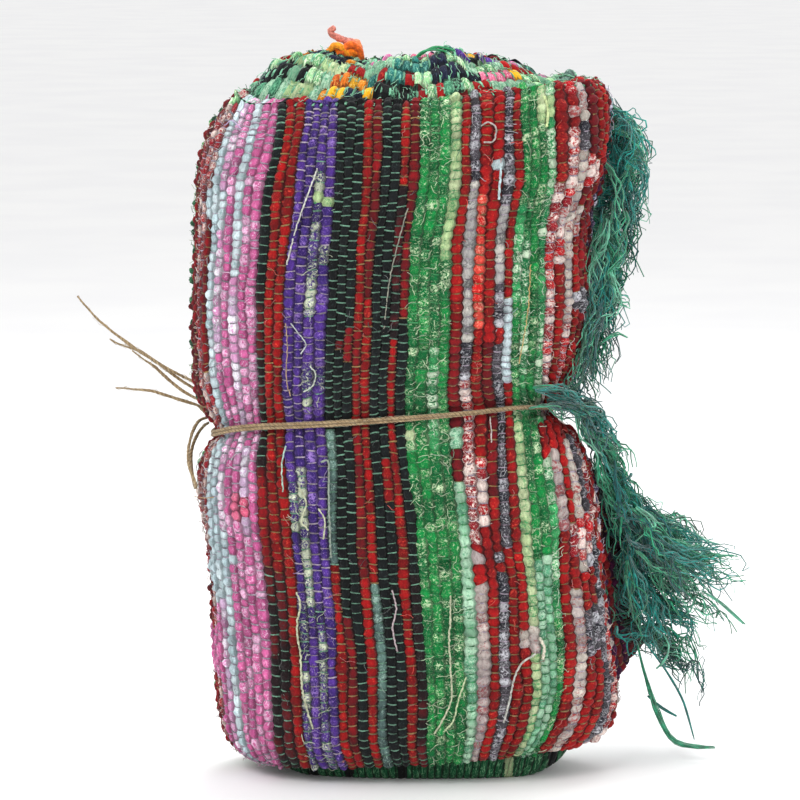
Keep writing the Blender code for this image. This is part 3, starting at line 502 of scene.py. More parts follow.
@dataclass
class RollForm:
    """The wound form: outlines, the ledge under the loose end, and the slow unevenness."""

    ribs: int = 98
    rib_rise: float = 0.0026
    cloth: float = 0.0096
    gap: float = 0.0003
    step_back: float = 0.004
    lap: float = 0.90
    ledge_dies: float = 0.050
    swell: float = 0.0019
    swell_after: float = 0.15
    swell_before: float = 0.08
    outline_steps: int = 720
    rest_left: float = -0.075
    rest_right: float = 0.100
    rest_curl: float = 9.0
    waist_lift: float = 0.0105
    waist_height: float = 0.300
    waist_reach: float = 0.075
    settled_depth: float = 0.06
    sunk_from: float = 0.535
    sunk_reach: float = 0.045

    @property
    def step(self) -> float:
        """How far the turn under the loose end lies inside it."""
        return self.cloth + self.rib_rise / 2 + 4 * self.gap

    def row(self, place: float) -> Array:
        """The form's row at a place between its rows, on a smooth curve through them.

        Args:
            place: a number from 0, the lowest row, to the highest.

        Returns:
            The row's values, in the order of SECTIONS.
        """
        low = min(int(place), len(SECTIONS) - 2)
        t = place - low
        a, b = SECTIONS[low], SECTIONS[low + 1]
        rise = b - a
        before = a - SECTIONS[low - 1] if low else rise
        after = SECTIONS[low + 2] - b if low + 2 < len(SECTIONS) else rise
        start, end = self._slope(before, rise), self._slope(rise, after)
        return ((2 * t ** 3 - 3 * t ** 2 + 1) * a + (t ** 3 - 2 * t ** 2 + t) * start
                + (3 * t ** 2 - 2 * t ** 3) * b + (t ** 3 - t ** 2) * end)

    @staticmethod
    def _slope(before: Array, after: Array) -> Array:
        """The slope at a row that never overshoots its neighbours."""
        total = before + after
        return np.where(before * after > 0,
                        2 * before * after / np.where(total == 0, 1, total), 0.0)

    def heights(self) -> tuple[Array, Array]:
        """How the length of the cloth grows from the bottom of the roll to its top.

        Returns:
            Places in the rows, and the length of cloth from the bottom up to each of them.
        """
        places = np.linspace(0, len(SECTIONS) - 1, 600)
        rows = np.array([self.row(place) for place in places])
        rise = np.diff(mean_height(rows))
        run = np.hypot(rise, np.diff(rows[:, FRONT]))
        return places, np.concatenate([[0], np.cumsum(run)])

    def outline(self, row: Array, angle: Array, out: Any = 0.0) -> Array:
        """Points on a row's outline.

        Args:
            row: the form's row.
            angle: angles that start on the right and run by the back.
            out: how far outside the outline.

        Returns:
            The points.
        """
        across = signed_power(np.cos(angle), 2 / row[ROUND])
        deep = signed_power(np.sin(angle), 2 / row[ROUND])
        middle, half = (row[RIGHT] - row[LEFT]) / 2, (row[RIGHT] + row[LEFT]) / 2
        x = middle + (half + out) * across
        y = (np.where(deep > 0, row[BACK], row[FRONT]) + out) * deep
        share = (x + row[LEFT]) / (row[LEFT] + row[RIGHT])
        return np.stack([x, y, mixed(row[Z_LEFT], row[Z_RIGHT], share)], -1)

    def settled(self, points: Array) -> Array:
        """Points moved as the real roll has settled in front: up at the waist, down on top.

        Args:
            points: points of the even form.

        Returns:
            The moved points.
        """
        x, y, z = np.moveaxis(points, -1, 0)
        front = smooth(-y / self.settled_depth)
        lift = self.waist_lift * np.exp(-((z - self.waist_height) / self.waist_reach) ** 2)
        drop = np.interp(x, SHOULDER[:, 0], SHOULDER[:, 1])
        drop = drop * smooth((z - self.sunk_from) / self.sunk_reach)
        return np.stack([x, y, z + front * (lift - drop)], -1)

    def arcs(self, row: Array) -> tuple[Array, Array, Array]:
        """Angles round a row from the ledge, with the arc's length and the point at each."""
        start = math.asin((self.step_back / row[BACK]) ** (row[ROUND] / 2))
        angle = start + 2 * np.pi * np.arange(self.outline_steps + 1) / self.outline_steps
        points = self.outline(row, angle)
        return angle, run_along(points[:, :2]), points

    def rib_angles(self, row: Array, ribs: Array) -> tuple[Array, Array]:
        """The angles at which ribs lie, so that the stripes meet their charted edges.

        Args:
            row: the form's row.
            ribs: places counted in ribs from the ledge.

        Returns:
            The angles, and the share of the way round at each.
        """
        angle, length, points = self.arcs(row)
        front = (points[:, 1] < 0) & (np.arange(len(points)) > self.outline_steps // 4)
        table = np.array(STRIPE_EDGES)[::-1]
        height = mean_height(row)
        edges = [np.interp(height, table[:, 0], table[:, 1 + n]) for n in range(len(EDGE_RIBS))]
        seams = np.interp(edges, points[front, 0], length[front])
        arcs = np.interp(ribs, (0, *EDGE_RIBS, self.ribs), (0, *seams, length[-1]))
        return np.interp(arcs, length, angle), arcs / length[-1]

    def ledge(self, share: Any, depth: Any = 0.0) -> Any:
        """How far the surface lies inside the outer turn, under the lap of its loose end."""
        return self.step * (1 - smooth(share / self.lap)) * (1 - smooth(depth / self.ledge_dies))

    def swelling(self, angle: Array, share: Array, height: float) -> Array:
        """The slow unevenness of a soft roll, which dies away at the ledge."""
        held = smooth(share / self.swell_after) * smooth((1 - share) / self.swell_before)
        lift = (0.6 * np.sin(3 * angle + 17 * height) + 0.4 * np.sin(5 * angle - 31 * height + 1.3))
        return self.swell * lift * held

    def side(self, places: Array, ribs: Array) -> Array:
        """The outer turn without its weave.

        Args:
            places: places in the form's rows, one for each row of the grid.
            ribs: the ribs of the grid's columns.

        Returns:
            Points by row and column.
        """
        grid = []
        for place in places:
            row = self.row(place)
            angle, share = self.rib_angles(row, ribs)
            out = self.swelling(angle, share, mean_height(row)) - self.ledge(share)
            grid.append(self.outline(row, angle, out))
        return self.settled(np.array(grid))

    def front_at(self, x: Array, z: Array, out: float = 0.0) -> Array:
        """Points on the front of the outer turn.

        Args:
            x: places across the roll.
            z: heights.
            out: how far in front of the cloth's middle surface.

        Returns:
            The points, one a row.
        """
        points = []
        for across, height in zip(np.atleast_1d(x), np.atleast_1d(z)):
            low, high = 0.0, len(SECTIONS) - 1.0
            for _ in range(24):
                middle = (low + high) / 2
                row = self.row(middle)
                centre, half = (row[RIGHT] - row[LEFT]) / 2, (row[RIGHT] + row[LEFT]) / 2
                reach = np.clip((across - centre) / half, -0.999, 0.999)
                angle = 2 * np.pi - np.arccos(signed_power(reach, row[ROUND] / 2))
                point = self.settled(self.outline(row, np.array(angle), out))
                low, high = (middle, high) if point[2] < height else (low, middle)
            points.append(point)
        return np.array(points)


# Finishes ------------------------------------------------------------------------------

class NodeTree:
    """A thin layer over a node tree, to add and link nodes in few words."""

    def __init__(self, tree: bpy.types.NodeTree) -> None:
        """Keeps the tree."""
        self.tree = tree

    def fill(self, node: Any, inputs: dict[Any, Any]) -> None:
        """Sets a node's inputs.

        Args:
            node: the node.
            inputs: for each input's name or number, its value or the socket linked to it.
        """
        for key, value in inputs.items():
            if isinstance(value, bpy.types.NodeSocket):
                self.tree.links.new(value, node.inputs[key])
            else:
                node.inputs[key].default_value = value

    def add(self, kind: str, inputs: dict[Any, Any] | None = None, **settings: Any) -> Any:
        """Adds a node.

        Args:
            kind: Blender's name of the node's type.
            inputs: for each input's name or number, its value or the socket linked to it.
            settings: the node's own properties.

        Returns:
            The node.
        """
        node = self.tree.nodes.new(kind)
        for key, value in settings.items():
            setattr(node, key, value)
        self.fill(node, inputs or {})
        return node

    def math(self, operation: str, *values: Any) -> Any:
        """The output of a math node."""
        return self.add("ShaderNodeMath", dict(enumerate(values)), operation=operation).outputs[0]

    def vector(self, operation: str, *values: Any) -> Any:
        """The output of a vector math node."""
        node = self.add("ShaderNodeVectorMath", dict(enumerate(values)), operation=operation)
        return node.outputs[0]

    def scaled(self, vector: Any, amount: Any) -> Any:
        """A vector or a colour times a number."""
        node = self.add("ShaderNodeVectorMath", {0: vector, "Scale": amount}, operation="SCALE")
        return node.outputs[0]

    def parts(self, vector: Any) -> Any:
        """The three parts of a vector."""
        return self.add("ShaderNodeSeparateXYZ", {0: vector}).outputs

    def noise(self, place: Any, scale: float, detail: float = 2.0, warp: float = 0.0) -> Any:
        """The factor of a noise texture."""
        node = self.add("ShaderNodeTexNoise", {"Vector": place, "Scale": scale, "Detail": detail,
                                               "Distortion": warp})
        return node.outputs[0]

    def ranged(self, value: Any, low: Any, high: Any, to_low: Any = 0.0,
               to_high: Any = 1.0) -> Any:
        """A value moved smoothly from one range to another."""
        node = self.add("ShaderNodeMapRange", {0: value, 1: low, 2: high, 3: to_low, 4: to_high},
                        interpolation_type="SMOOTHSTEP")
        return node.outputs[0]


class MaterialTree(NodeTree):
    """The node tree of a new material, with its one shader."""

    def __init__(self, name: str) -> None:
        """Makes the material."""
        self.material = bpy.data.materials.new(name)
        self.material.use_nodes = True
        super().__init__(self.material.node_tree)

    def attribute(self, name: str) -> Any:
        """The outputs of the node that reads a mesh's named value."""
        return self.add("ShaderNodeAttribute", attribute_name=name).outputs

    def place(self) -> Any:
        """Places in the object's own coordinates."""
        return self.add("ShaderNodeTexCoord").outputs["Object"]

    def mix(self, share: Any, first: Any, second: Any) -> Any:
        """The colour output of a mix node."""
        node = self.add("ShaderNodeMix", {0: share, 6: first, 7: second}, data_type="RGBA")
        return node.outputs[2]

    def bumped(self, height: Any, strength: float, depth: float) -> Any:
        """The normals that a height map bends."""
        return self.add("ShaderNodeBump", {"Strength": strength, "Distance": depth,
                                           "Height": height}).outputs[0]

    def finished(self, inputs: dict[str, Any]) -> bpy.types.Material:
        """Gives the shader its inputs.

        Args:
            inputs: for each input's name, its value or the socket linked to it.

        Returns:
            The material.
        """
        self.fill(self.tree.nodes["Principled BSDF"], inputs)
        return self.material


@dataclass(frozen=True)
class RagCloth:
    """The woven rags: flecks, curled fibres, painted light and shade of small folds, and painted shade in
    the grooves, over each rag's own colour.
    """

    roughness: float = 0.92
    sheen: float = 0.06
    specular: float = 0.25
    fleck_scale: float = 540.0
    fleck_level: float = 0.70
    fleck_fall: float = 0.34
    fleck_edge: float = 0.11
    curl_scale: float = 400.0
    curl_width: float = 0.05
    fold_scale: float = 640.0
    fibre_scale: float = 2100.0
    wobble_scale: float = 330.0
    wobble_across: float = 0.8
    wobble_along: float = -0.55
    roundness: float = 0.72
    # The share of the colour left at the bottom of a groove, where shade is painted in.
    groove_painted_shade: float = 0.26
    bead_height: float = 2.0
    bump: float = 0.75
    bump_depth: float = 0.0010

    def material(self) -> bpy.types.Material:
        """The material, which reads the mesh's values rag, fleck, lie and cell.

        Returns:
            The material.
        """
        nodes = MaterialTree("rag_weave")
        lie = nodes.attribute("lie")["Vector"]
        fleck = nodes.attribute("fleck")
        bead, groove = self._bead(nodes, lie)
        # Small folds: one noise bumps the surface and also lightens and darkens the colour, as painted light
        # and shade of the folds.
        folds = nodes.noise(nodes.vector("MULTIPLY", lie, (1.0, 0.34, 1.0)), self.fold_scale, 1.0)
        fibres = nodes.noise(lie, self.fibre_scale, 0.0)
        colour = nodes.mix(self._flecks(nodes, lie, fleck["Alpha"]),
                           nodes.attribute("rag")["Color"], fleck["Color"])
        # Painted light and shade of the folds, times the fibres' own tone.
        bright = nodes.math("MULTIPLY", nodes.ranged(folds, 0.28, 0.72, 0.80, 1.14),
                            nodes.ranged(fibres, 0.2, 0.8, 0.86, 1.12))
        # Painted shade: the colour darkens deep in the grooves between the puffs.
        bright = nodes.math("MULTIPLY", bright,
                            nodes.ranged(groove, 0.0, 1.0, 1.0, self.groove_painted_shade))
        height = nodes.math("MULTIPLY_ADD", fibres, 0.25, nodes.math("MULTIPLY", folds, 0.7))
        height = nodes.math("MULTIPLY_ADD", bead, self.bead_height, height)
        return nodes.finished({
            "Base Color": nodes.scaled(colour, bright), "Roughness": self.roughness,
            "Sheen Weight": self.sheen, "Specular IOR Level": self.specular,
            "Normal": nodes.bumped(height, self.bump, self.bump_depth)})

    def _flecks(self, nodes: MaterialTree, lie: Any, share: Any) -> Any:
        """Where the rag shows its flecks: in blotches, and along thin curled lines.

        Args:
            nodes: the material's tree.
            lie: the place on the cloth.
            share: how much of the surface the flecks cover.

        Returns:
            The share of the fleck colour.
        """
        blotch = nodes.noise(lie, self.fleck_scale, 3.0, 0.7)
        edge = nodes.math("MULTIPLY_ADD", share, -self.fleck_fall, self.fleck_level)
        spots = nodes.ranged(blotch, nodes.math("SUBTRACT", edge, self.fleck_edge),
                             nodes.math("ADD", edge, self.fleck_edge))
        wander = nodes.noise(lie, self.curl_scale, 0.0)
        away = nodes.math("ABSOLUTE", nodes.math("SUBTRACT", wander, 0.5))
        wide = nodes.math("MULTIPLY", share, self.curl_width)
        curls = nodes.ranged(away, nodes.math("MULTIPLY", wide, 0.55), wide, 1.0, 0.0)
        return nodes.math("MAXIMUM", spots, curls)

    def _bead(self, nodes: MaterialTree, lie: Any) -> tuple[Any, Any]:
        """The relief of the puffs of rag within one quad of the mesh.

        Args:
            nodes: the material's tree.
            lie: the place on the cloth.

        Returns:
            The rounded height of the puff, and how much shade is painted at the place: deep in a groove,
            less where the rag's fuzz fills it.
        """
        cell = nodes.attribute("cell")
        parts = nodes.parts(cell["Vector"])
        wobble = nodes.math("ADD", nodes.noise(lie, self.wobble_scale, 1.0), -0.5)
        across = nodes.math("MULTIPLY_ADD", wobble, self.wobble_across, parts[0])
        phase = nodes.math("FRACT", nodes.math("MULTIPLY_ADD", wobble, self.wobble_along, parts[1]))
        along = nodes.math("MULTIPLY_ADD", phase, 2.0, -1.0)
        round_across, round_along = (
            nodes.math("POWER", nodes.ranged(nodes.math("MULTIPLY", side, side),
                                             0.0, 1.0, 1.0, 0.0), self.roundness)
            for side in (across, along))
        depth = nodes.math("MULTIPLY", parts[2], nodes.math("SUBTRACT", 1.0, round_along))
        bead = nodes.math("MULTIPLY", round_across, nodes.math("SUBTRACT", 1.0, depth))
        # Fuzzy rags get less painted shade in their grooves.
        fluffless = nodes.ranged(cell["Alpha"], 0.0, 1.0, 1.0, 0.25)
        return bead, nodes.math("MULTIPLY", nodes.ranged(bead, 0.10, 0.72, 1.0, 0.0), fluffless)


@dataclass(frozen=True)
class ThreadFinish:
    """Fine cotton thread whose colour is each thread's own tone, with paler worn places."""

    name: str
    roughness: float = 0.85
    sheen: float = 0.15
    specular: float = 0.3
    scale: float = 260.0
    fibre_scale: float = 2600.0
    dark: float = 0.58
    light: float = 1.18

    def material(self) -> bpy.types.Material:
        """The material, which reads the value tone and Object coordinates.

        Returns:
            The material.
        """
        nodes = MaterialTree(self.name)
        place = nodes.place()
        worn = nodes.ranged(nodes.noise(place, self.scale, 1.0), 0.3, 0.7, self.dark, self.light)
        fibres = nodes.ranged(nodes.noise(place, self.fibre_scale, 0.0), 0.3, 0.7, 0.85, 1.1)
        return nodes.finished({
            "Base Color": nodes.scaled(nodes.attribute("tone")["Color"],
                                       nodes.math("MULTIPLY", worn, fibres)),
            "Roughness": self.roughness, "Sheen Weight": self.sheen,
            "Specular IOR Level": self.specular})


@dataclass(frozen=True)
class JuteFinish:
    """Twisted jute: pale and brown fibres that follow the twist, with shade painted in between the plies."""

    pale: Rgb = (186, 164, 128)
    brown: Rgb = (116, 92, 62)
    # The colour of the shade painted between the plies.
    deep: Rgb = (70, 52, 34)
    fibres_along: tuple[float, float, float] = (90.0, 1100.0, 0.0)
    blotches: tuple[float, float, float] = (60.0, 60.0, 0.0)
    roughness: float = 0.88
    sheen: float = 0.15
    specular: float = 0.25
    bump: float = 0.7
    bump_depth: float = 0.0006

    def material(self) -> bpy.types.Material:
        """The material, which reads the value lie: length, twist and height of the ply.

        Returns:
            The material.
        """
        nodes = MaterialTree("jute_twine")
        lie = nodes.attribute("lie")["Vector"]
        fibres = nodes.noise(nodes.vector("MULTIPLY", lie, self.fibres_along), 1.0, 3.0, 0.3)
        broad = nodes.noise(nodes.vector("MULTIPLY", lie, self.blotches), 1.0, 1.0)
        colour = nodes.mix(nodes.ranged(fibres, 0.36, 0.62), rgba(self.brown), rgba(self.pale))
        colour = nodes.mix(nodes.ranged(broad, 0.45, 0.72, 0.0, 0.45), colour, rgba(self.brown))
        # Painted shade: the colour goes towards the deep colour where the ply lies low, between the plies.
        colour = nodes.mix(nodes.ranged(nodes.parts(lie)[2], 0.1, 0.75, 0.62, 0.0), colour,
                           rgba(self.deep))
        return nodes.finished({
            "Base Color": colour, "Roughness": self.roughness, "Sheen Weight": self.sheen,
            "Specular IOR Level": self.specular,
            "Normal": nodes.bumped(fibres, self.bump, self.bump_depth)})


# Geometry Nodes ------------------------------------------------------------------------

class NodeGroup(NodeTree):
    """A Geometry Nodes tree with named inputs, which ends in a plain mesh."""

    def __init__(self, name: str, sizes: dict[str, float]) -> None:
        """Starts the tree.

        Args:
            name: the tree's name.
            sizes: its named number inputs, with their values.
        """
        super().__init__(bpy.data.node_groups.new(name, "GeometryNodeTree"))
        face = self.tree.interface
        face.new_socket(name="Geometry", in_out="INPUT", socket_type="NodeSocketGeometry")
        for key in sizes:
            face.new_socket(name=key, in_out="INPUT", socket_type="NodeSocketFloat")
        face.new_socket(name="Finish", in_out="INPUT", socket_type="NodeSocketMaterial")
        face.new_socket(name="Geometry", in_out="OUTPUT", socket_type="NodeSocketGeometry")
        self.sizes = sizes
        self.inputs = self.add("NodeGroupInput").outputs
        self.result = self.add("NodeGroupOutput")

    def named(self, name: str, kind: str = "FLOAT_VECTOR") -> Any:
        """The field of a named value of the points."""
        return self.add("GeometryNodeInputNamedAttribute", {"Name": name},
                        data_type=kind).outputs[0]

    def random(self, low: Any, high: Any, seed: int, each: Any) -> Any:
        """A random number or vector.

        Args:
            low: its lowest value.
            high: its highest value.
            seed: the seed of the draw.
            each: the field that tells one thing from the next.

        Returns:
            The field of the draws.
        """
        vector = isinstance(low, tuple)
        first = 0 if vector else 2
        node = self.add("FunctionNodeRandomValue", {first: low, first + 1: high, 7: each, 8: seed},
                        data_type="FLOAT_VECTOR" if vector else "FLOAT")
        return node.outputs[0 if vector else 1]

    def swirl(self, place: Any, scale: Any, detail: float, phase: Any = None) -> Any:
        """Noise vectors about zero.

        Args:
            place: where the noise is read.
            scale: how fine it is.
            detail: how many finer layers it has.
            phase: another place in a fourth direction, if the noise has one.

        Returns:
            The field of the vectors.
        """
        flat = phase is None
        node = self.add("ShaderNodeTexNoise", {"Vector": place, "Scale": scale, "Detail": detail,
                                               **({} if flat else {"W": phase})},
                        noise_dimensions="3D" if flat else "4D")
        return self.vector("SUBTRACT", node.outputs["Color"], (0.5, 0.5, 0.5))

    def point(self, x: Any = 0.0, y: Any = 0.0, z: Any = 0.0) -> Any:
        """A vector from its three parts."""
        return self.add("ShaderNodeCombineXYZ", {0: x, 1: y, 2: z}).outputs[0]

    def evened(self, lines: Any, count: int) -> Any:
        """Curves with a given number of points each."""
        return self.add("GeometryNodeResampleCurve", {"Curve": lines, "Count": count}).outputs[0]

    def bar(self, count: int) -> Any:
        """A straight line across the origin, as long as the input Length, with some points."""
        half = self.math("MULTIPLY", self.inputs["Length"], 0.5)
        ends = {"Start": self.point(self.math("MULTIPLY", half, -1.0)), "End": self.point(half)}
        return self.evened(self.add("GeometryNodeCurvePrimitiveLine", ends).outputs[0], count)

    def moved(self, geometry: Any, offset: Any) -> Any:
        """Geometry whose points are moved by an offset."""
        return self.add("GeometryNodeSetPosition", {"Geometry": geometry,
                                                    "Offset": offset}).outputs[0]

    def tubes(self, lines: Any, radius: Any, scale: Any = 1.0) -> Any:
        """Three-sided tubes along curves, with a scale that may differ along them."""
        ring = self.add("GeometryNodeCurvePrimitiveCircle", {"Resolution": 3, "Radius": radius})
        return self.add("GeometryNodeCurveToMesh", {"Curve": lines, "Scale": scale,
                                                    "Profile Curve": ring.outputs[0]}).outputs[0]

    def planted(self, shape: Any) -> Any:
        """The same shape at every point of the input.

        Args:
            shape: the shape, which the points' own out, along and size turn and scale.

        Returns:
            The instances.
        """
        turn = self.add("FunctionNodeAxesToRotation",
                        {0: self.named("out"), 1: self.named("along")},
                        primary_axis="Z", secondary_axis="X")
        return self.add("GeometryNodeInstanceOnPoints",
                        {"Points": self.inputs["Geometry"], "Instance": shape,
                         "Rotation": turn.outputs[0],
                         "Scale": self.named("size", "FLOAT")}).outputs[0]

    def real(self, geometry: Any) -> Any:
        """Instances as real geometry."""
        return self.add("GeometryNodeRealizeInstances", {0: geometry}).outputs[0]

    def finished(self, geometry: Any) -> "NodeGroup":
        """Ends the tree in Realize Instances and Set Material, and hands it back."""
        dressing = self.add("GeometryNodeSetMaterial", {"Geometry": self.real(geometry),
                                                        "Material": self.inputs["Finish"]})
        self.fill(self.result, {0: dressing.outputs[0]})
        return self

    def grown(self, name: str, seeds: bpy.types.Object,
              material: bpy.types.Material) -> bpy.types.Object:
        """Runs the tree on an object and keeps the result as a plain mesh.

        Args:
            name: the new object's name.
            seeds: the object whose points or lines the tree grows from. It is removed.
            material: the finish.

        Returns:
            The new object.
        """
        modifier = seeds.modifiers.new(name, "NODES")
        modifier.node_group = self.tree
        for item in self.tree.interface.items_tree:
            if item.in_out == "INPUT" and item.name in self.sizes:
                modifier[item.identifier] = float(self.sizes[item.name])
            elif item.in_out == "INPUT" and item.name == "Finish":
                modifier[item.identifier] = material
        seeds.update_tag()
        bpy.context.view_layer.update()
        graph = bpy.context.evaluated_depsgraph_get()
        mesh = bpy.data.meshes.new_from_object(seeds.evaluated_get(graph))
        mesh.name = name
        seeds.modifiers.clear()
        bpy.data.objects.remove(seeds)
        if not mesh.materials:
            mesh.materials.append(material)
        return linked(bpy.data.objects.new(name, mesh))


def seeded(name: str, points: Array, values: dict[str, Array],
           edges: Any = ()) -> bpy.types.Object:
    """An object of loose points or lines with named values, for a tree to grow from.

    Args:
        name: the object's name.
        points: the points, in roll coordinates.
        values: for each name, a vector, a colour or a number for every point.
        edges: the two point numbers of each stretch of a line.

    Returns:
        The object.
    """
    mesh = bpy.data.meshes.new(name)
    mesh.from_pydata((points + SHIFT).tolist(), list(edges), [])
    give_points(mesh, values)
    return linked(bpy.data.objects.new(name, mesh))


def guide_lines(name: str, lines: list[Array], values: dict[str, list[Any]]) -> bpy.types.Object:
    """An object of open lines with named values, for a tree to grow threads along.

    Args:
        name: the object's name.
        lines: the lines' points, in roll coordinates.
        values: for each name, one number or vector for every line.

    Returns:
        The object.
    """
    counts = [len(line) for line in lines]
    ends = set((np.cumsum(counts) - 1).tolist())
    edges = [(n, n + 1) for n in range(sum(counts)) if n not in ends]
    spread = {key: np.repeat(np.asarray(rows, float), counts, axis=0)
              for key, rows in values.items()}
    return seeded(name, np.vstack(lines), spread, edges)


# The weave -----------------------------------------------------------------------------

@dataclass
class Stitches:
    """Places at which a warp thread or a loose fibre crosses the face of the cloth."""

    noted: list[tuple[Array, ...]] = field(default_factory=list)

    def add(self, points: Array, out: Array, along: Array, tones: Array, sizes: Array) -> None:
        """Notes places with their directions, colours and sizes."""
        self.noted.append((points, out, along, opaque(tones), sizes))

    def values(self) -> tuple[Array, dict[str, Array]]:
        """All places, and their named values."""
        points, out, along, tone, size = (np.concatenate(rows) for rows in zip(*self.noted))
        return points, {"out": out, "along": along, "tone": tone, "size": size}


YARN_BASE, YARN_ALT, YARN_FLECK, YARN_WARP = (
    np.array([linear(getattr(rag.value, part)) for rag in RAGS])
    for part in ("base", "alt", "fleck", "warp"))
YARN_SHARE, YARN_BEAD, YARN_LUMP, YARN_CURLS, YARN_FLUFF = (
    np.array([getattr(rag.value, part) for rag in RAGS])
    for part in ("share", "bead", "lump", "curls", "fluff"))

# The order of a quad's corners, as steps across and along its puff.
BY_RIB = ((0, 0), (1, 0), (1, 1), (0, 1))
BY_RIDGE = ((0, 0), (0, 1), (1, 1), (1, 0))


def cells(across: tuple[Array, Array], along: tuple[Array, Array], rag: Array,
          order: tuple[tuple[int, int], ...] = BY_RIB) -> Array:
    """Where every corner of a grid's quads lies in its puff of rag.

    Args:
        across: each quad's two sides across its rib, from -1 to 1.
        along: each quad's two ends along its rib, in puffs.
        rag: each quad's rag number.
        order: the order of its corners.

    Returns:
        Place across, place along, depth between puffs and fluff, four corners a quad.
    """
    corners = [np.stack(np.broadcast_arrays(across[i], along[j], YARN_BEAD[rag], YARN_FLUFF[rag]),
                        -1) for i, j in order]
    return np.stack(corners, -2).reshape(-1, 4)


@dataclass
class Weave:
    """Rags packed side by side, each puffed between the warp threads that cross it.

    A patch is a grid of ribs by puffs. Its relief and colours come from one rag for each
    rib and puff, and are laid over a smooth grid of points and normals.
    """

    ribs: int
    puffs: int
    seed: int
    across: int = 5
    along: int = 4
    rise: float = 0.0033
    drift: float = 0.10
    slip: float = 0.13
    interlock: float = 0.09
    round_across: float = 0.62
    round_along: float = 0.85
    roughness: float = 0.32
    fluff_flattens: float = 0.40
    curl_share: float = 1.3
    stitches: Stitches = field(default_factory=Stitches)
    curls: Stitches = field(default_factory=Stitches)

    def __post_init__(self) -> None:
        """Draws the weave's own random tables."""
        random = np.random.default_rng(self.seed)
        shape = (self.puffs + 3, self.ribs + 2)
        self.slips = random.normal(0, self.slip, shape)
        self.drifts = random.normal(0, self.drift, (self.puffs // 3 + 3, self.ribs + 2))
        self.tones = random.normal(1.0, 0.13, shape)
        self.turns = random.random((self.puffs // 2 + 4, self.ribs + 2))
        self.shares = random.gamma(1.6, 0.62, shape)
        self.fat = random.normal(0, 1, shape)
        self.random = random

    def samples(self, puff: Array, rib: Array) -> tuple[Array, Array]:
        """Where a place of the even grid really lies, after the weave's slips and drifts.

        Args:
            puff: places up the patch, in puffs.
            rib: places across it, in ribs.

        Returns:
            The moved places up and across, in samples.
        """
        shift = looked_up(self.slips, puff + 0.5, rib)
        wander = looked_up(self.drifts, puff / 3, rib)
        wander = wander + self.interlock * np.cos(2 * np.pi * puff) * np.cos(np.pi * rib)
        inside = smooth(rib / 1.5) * smooth((self.ribs - rib) / 1.5)
        ends = smooth(puff / 2) * smooth((self.puffs - puff) / 2)
        return (puff + shift * ends) * self.along, (rib + wander * inside) * self.across

    def laid(self, base: Array, rags: Array, bulge: Any = 0.0) -> MeshParts:
        """Lays the weave over a smooth surface.

        Args:
            base: the surface's points, at every sample of the even grid.
            rags: the rag numbers by puff and rib.
            bulge: how far each sample stands out besides.

        Returns:
            The whole patch as one grid.
        """
        rows, columns = self.puffs * self.along + 1, self.ribs * self.across + 1
        puff, rib = np.meshgrid(np.arange(rows) / self.along, np.arange(columns) / self.across,
                                indexing="ij")
        column = np.minimum(rib.astype(int), self.ribs - 1)
        normals = unit(np.cross(np.gradient(base, axis=1), np.gradient(base, axis=0)))
        at = self.samples(puff, rib)
        height = self._relief(puff, rib, column, rags) + bulge
        points = looked_up(base, *at) + looked_up(normals, *at) * height[..., None]
        # Every rib reads the finish at a place of its own.
        lie = np.stack([rib * RIB_WIDTH, puff * PUFF_LENGTH + column * 0.31, column * 0.017], -1)
        self._stitch(base, normals, rags)
        self._curl(base, normals, rags)
        return MeshParts(points.reshape(-1, 3), grid_quads(rows, columns),
                         self._colours(rags), {"lie": lie.reshape(-1, 3)})

    def _relief(self, puff: Array, rib: Array, column: Array, rags: Array) -> Array:
        """How far every sample stands out.

        Args:
            puff: its place up the patch, in puffs.
            rib: its place across, in ribs.
            column: the number of its rib.
            rags: the rag numbers by puff and rib.

        Returns:
            The heights.
        """
        phase = puff + 0.5 * (column % 2)
        number = phase.astype(int)
        rag = rags[np.minimum(number, self.puffs), column]
        fat = self.fat[number, column]
        hill = rounded(2 * (rib - column) - 1, self.round_across)
        puffed = rounded(2 * (phase - number) - 1, self.round_along)
        bead = YARN_BEAD[rag]
        lift = hill * (1 - bead + bead * puffed) * (1 + 0.10 * fat)
        rough = self.random.normal(0, self.roughness, lift.shape) + fat * puffed
        full = self.rise * (1 - self.fluff_flattens * YARN_FLUFF[rag])
        return full * (lift - 0.5) + YARN_LUMP[rag] * rough * hill

    def _colours(self, rags: Array) -> dict[str, Array]:
        """The colours and cells of the patch.

        Args:
            rags: the rag numbers by puff and rib.

        Returns:
            The values rag, fleck and cell of every quad's four corners.
        """
        rows, columns = self.puffs * self.along, self.ribs * self.across
        row, column = np.meshgrid(np.arange(rows), np.arange(columns), indexing="ij")
        rib = column // self.across
        phase = (row + 0.5) / self.along + 0.5 * (rib % 2)
        number = phase.astype(int)
        rag = rags[np.minimum(number, self.puffs), rib]
        turn = smooth((looked_up(self.turns, phase / 2, rib.astype(float)) - 0.35) / 0.3)
        tone = self.tones[number, rib][..., None]
        own = mixed(YARN_BASE[rag], YARN_ALT[rag], turn[..., None]) * tone
        share = YARN_SHARE[rag] * np.clip(self.shares[number, rib], 0.2, 2.6)
        spots = np.concatenate([YARN_FLECK[rag] * tone, share[..., None]], -1)
        left = 2 * (column % self.across) / self.across - 1
        low = row / self.along + 0.5 * (rib % 2)
        return {"rag": cornered(opaque(own)), "fleck": cornered(np.clip(spots, 0, 1)),
                "cell": cells((left, left + 2 / self.across), (low, low + 1 / self.along), rag)}

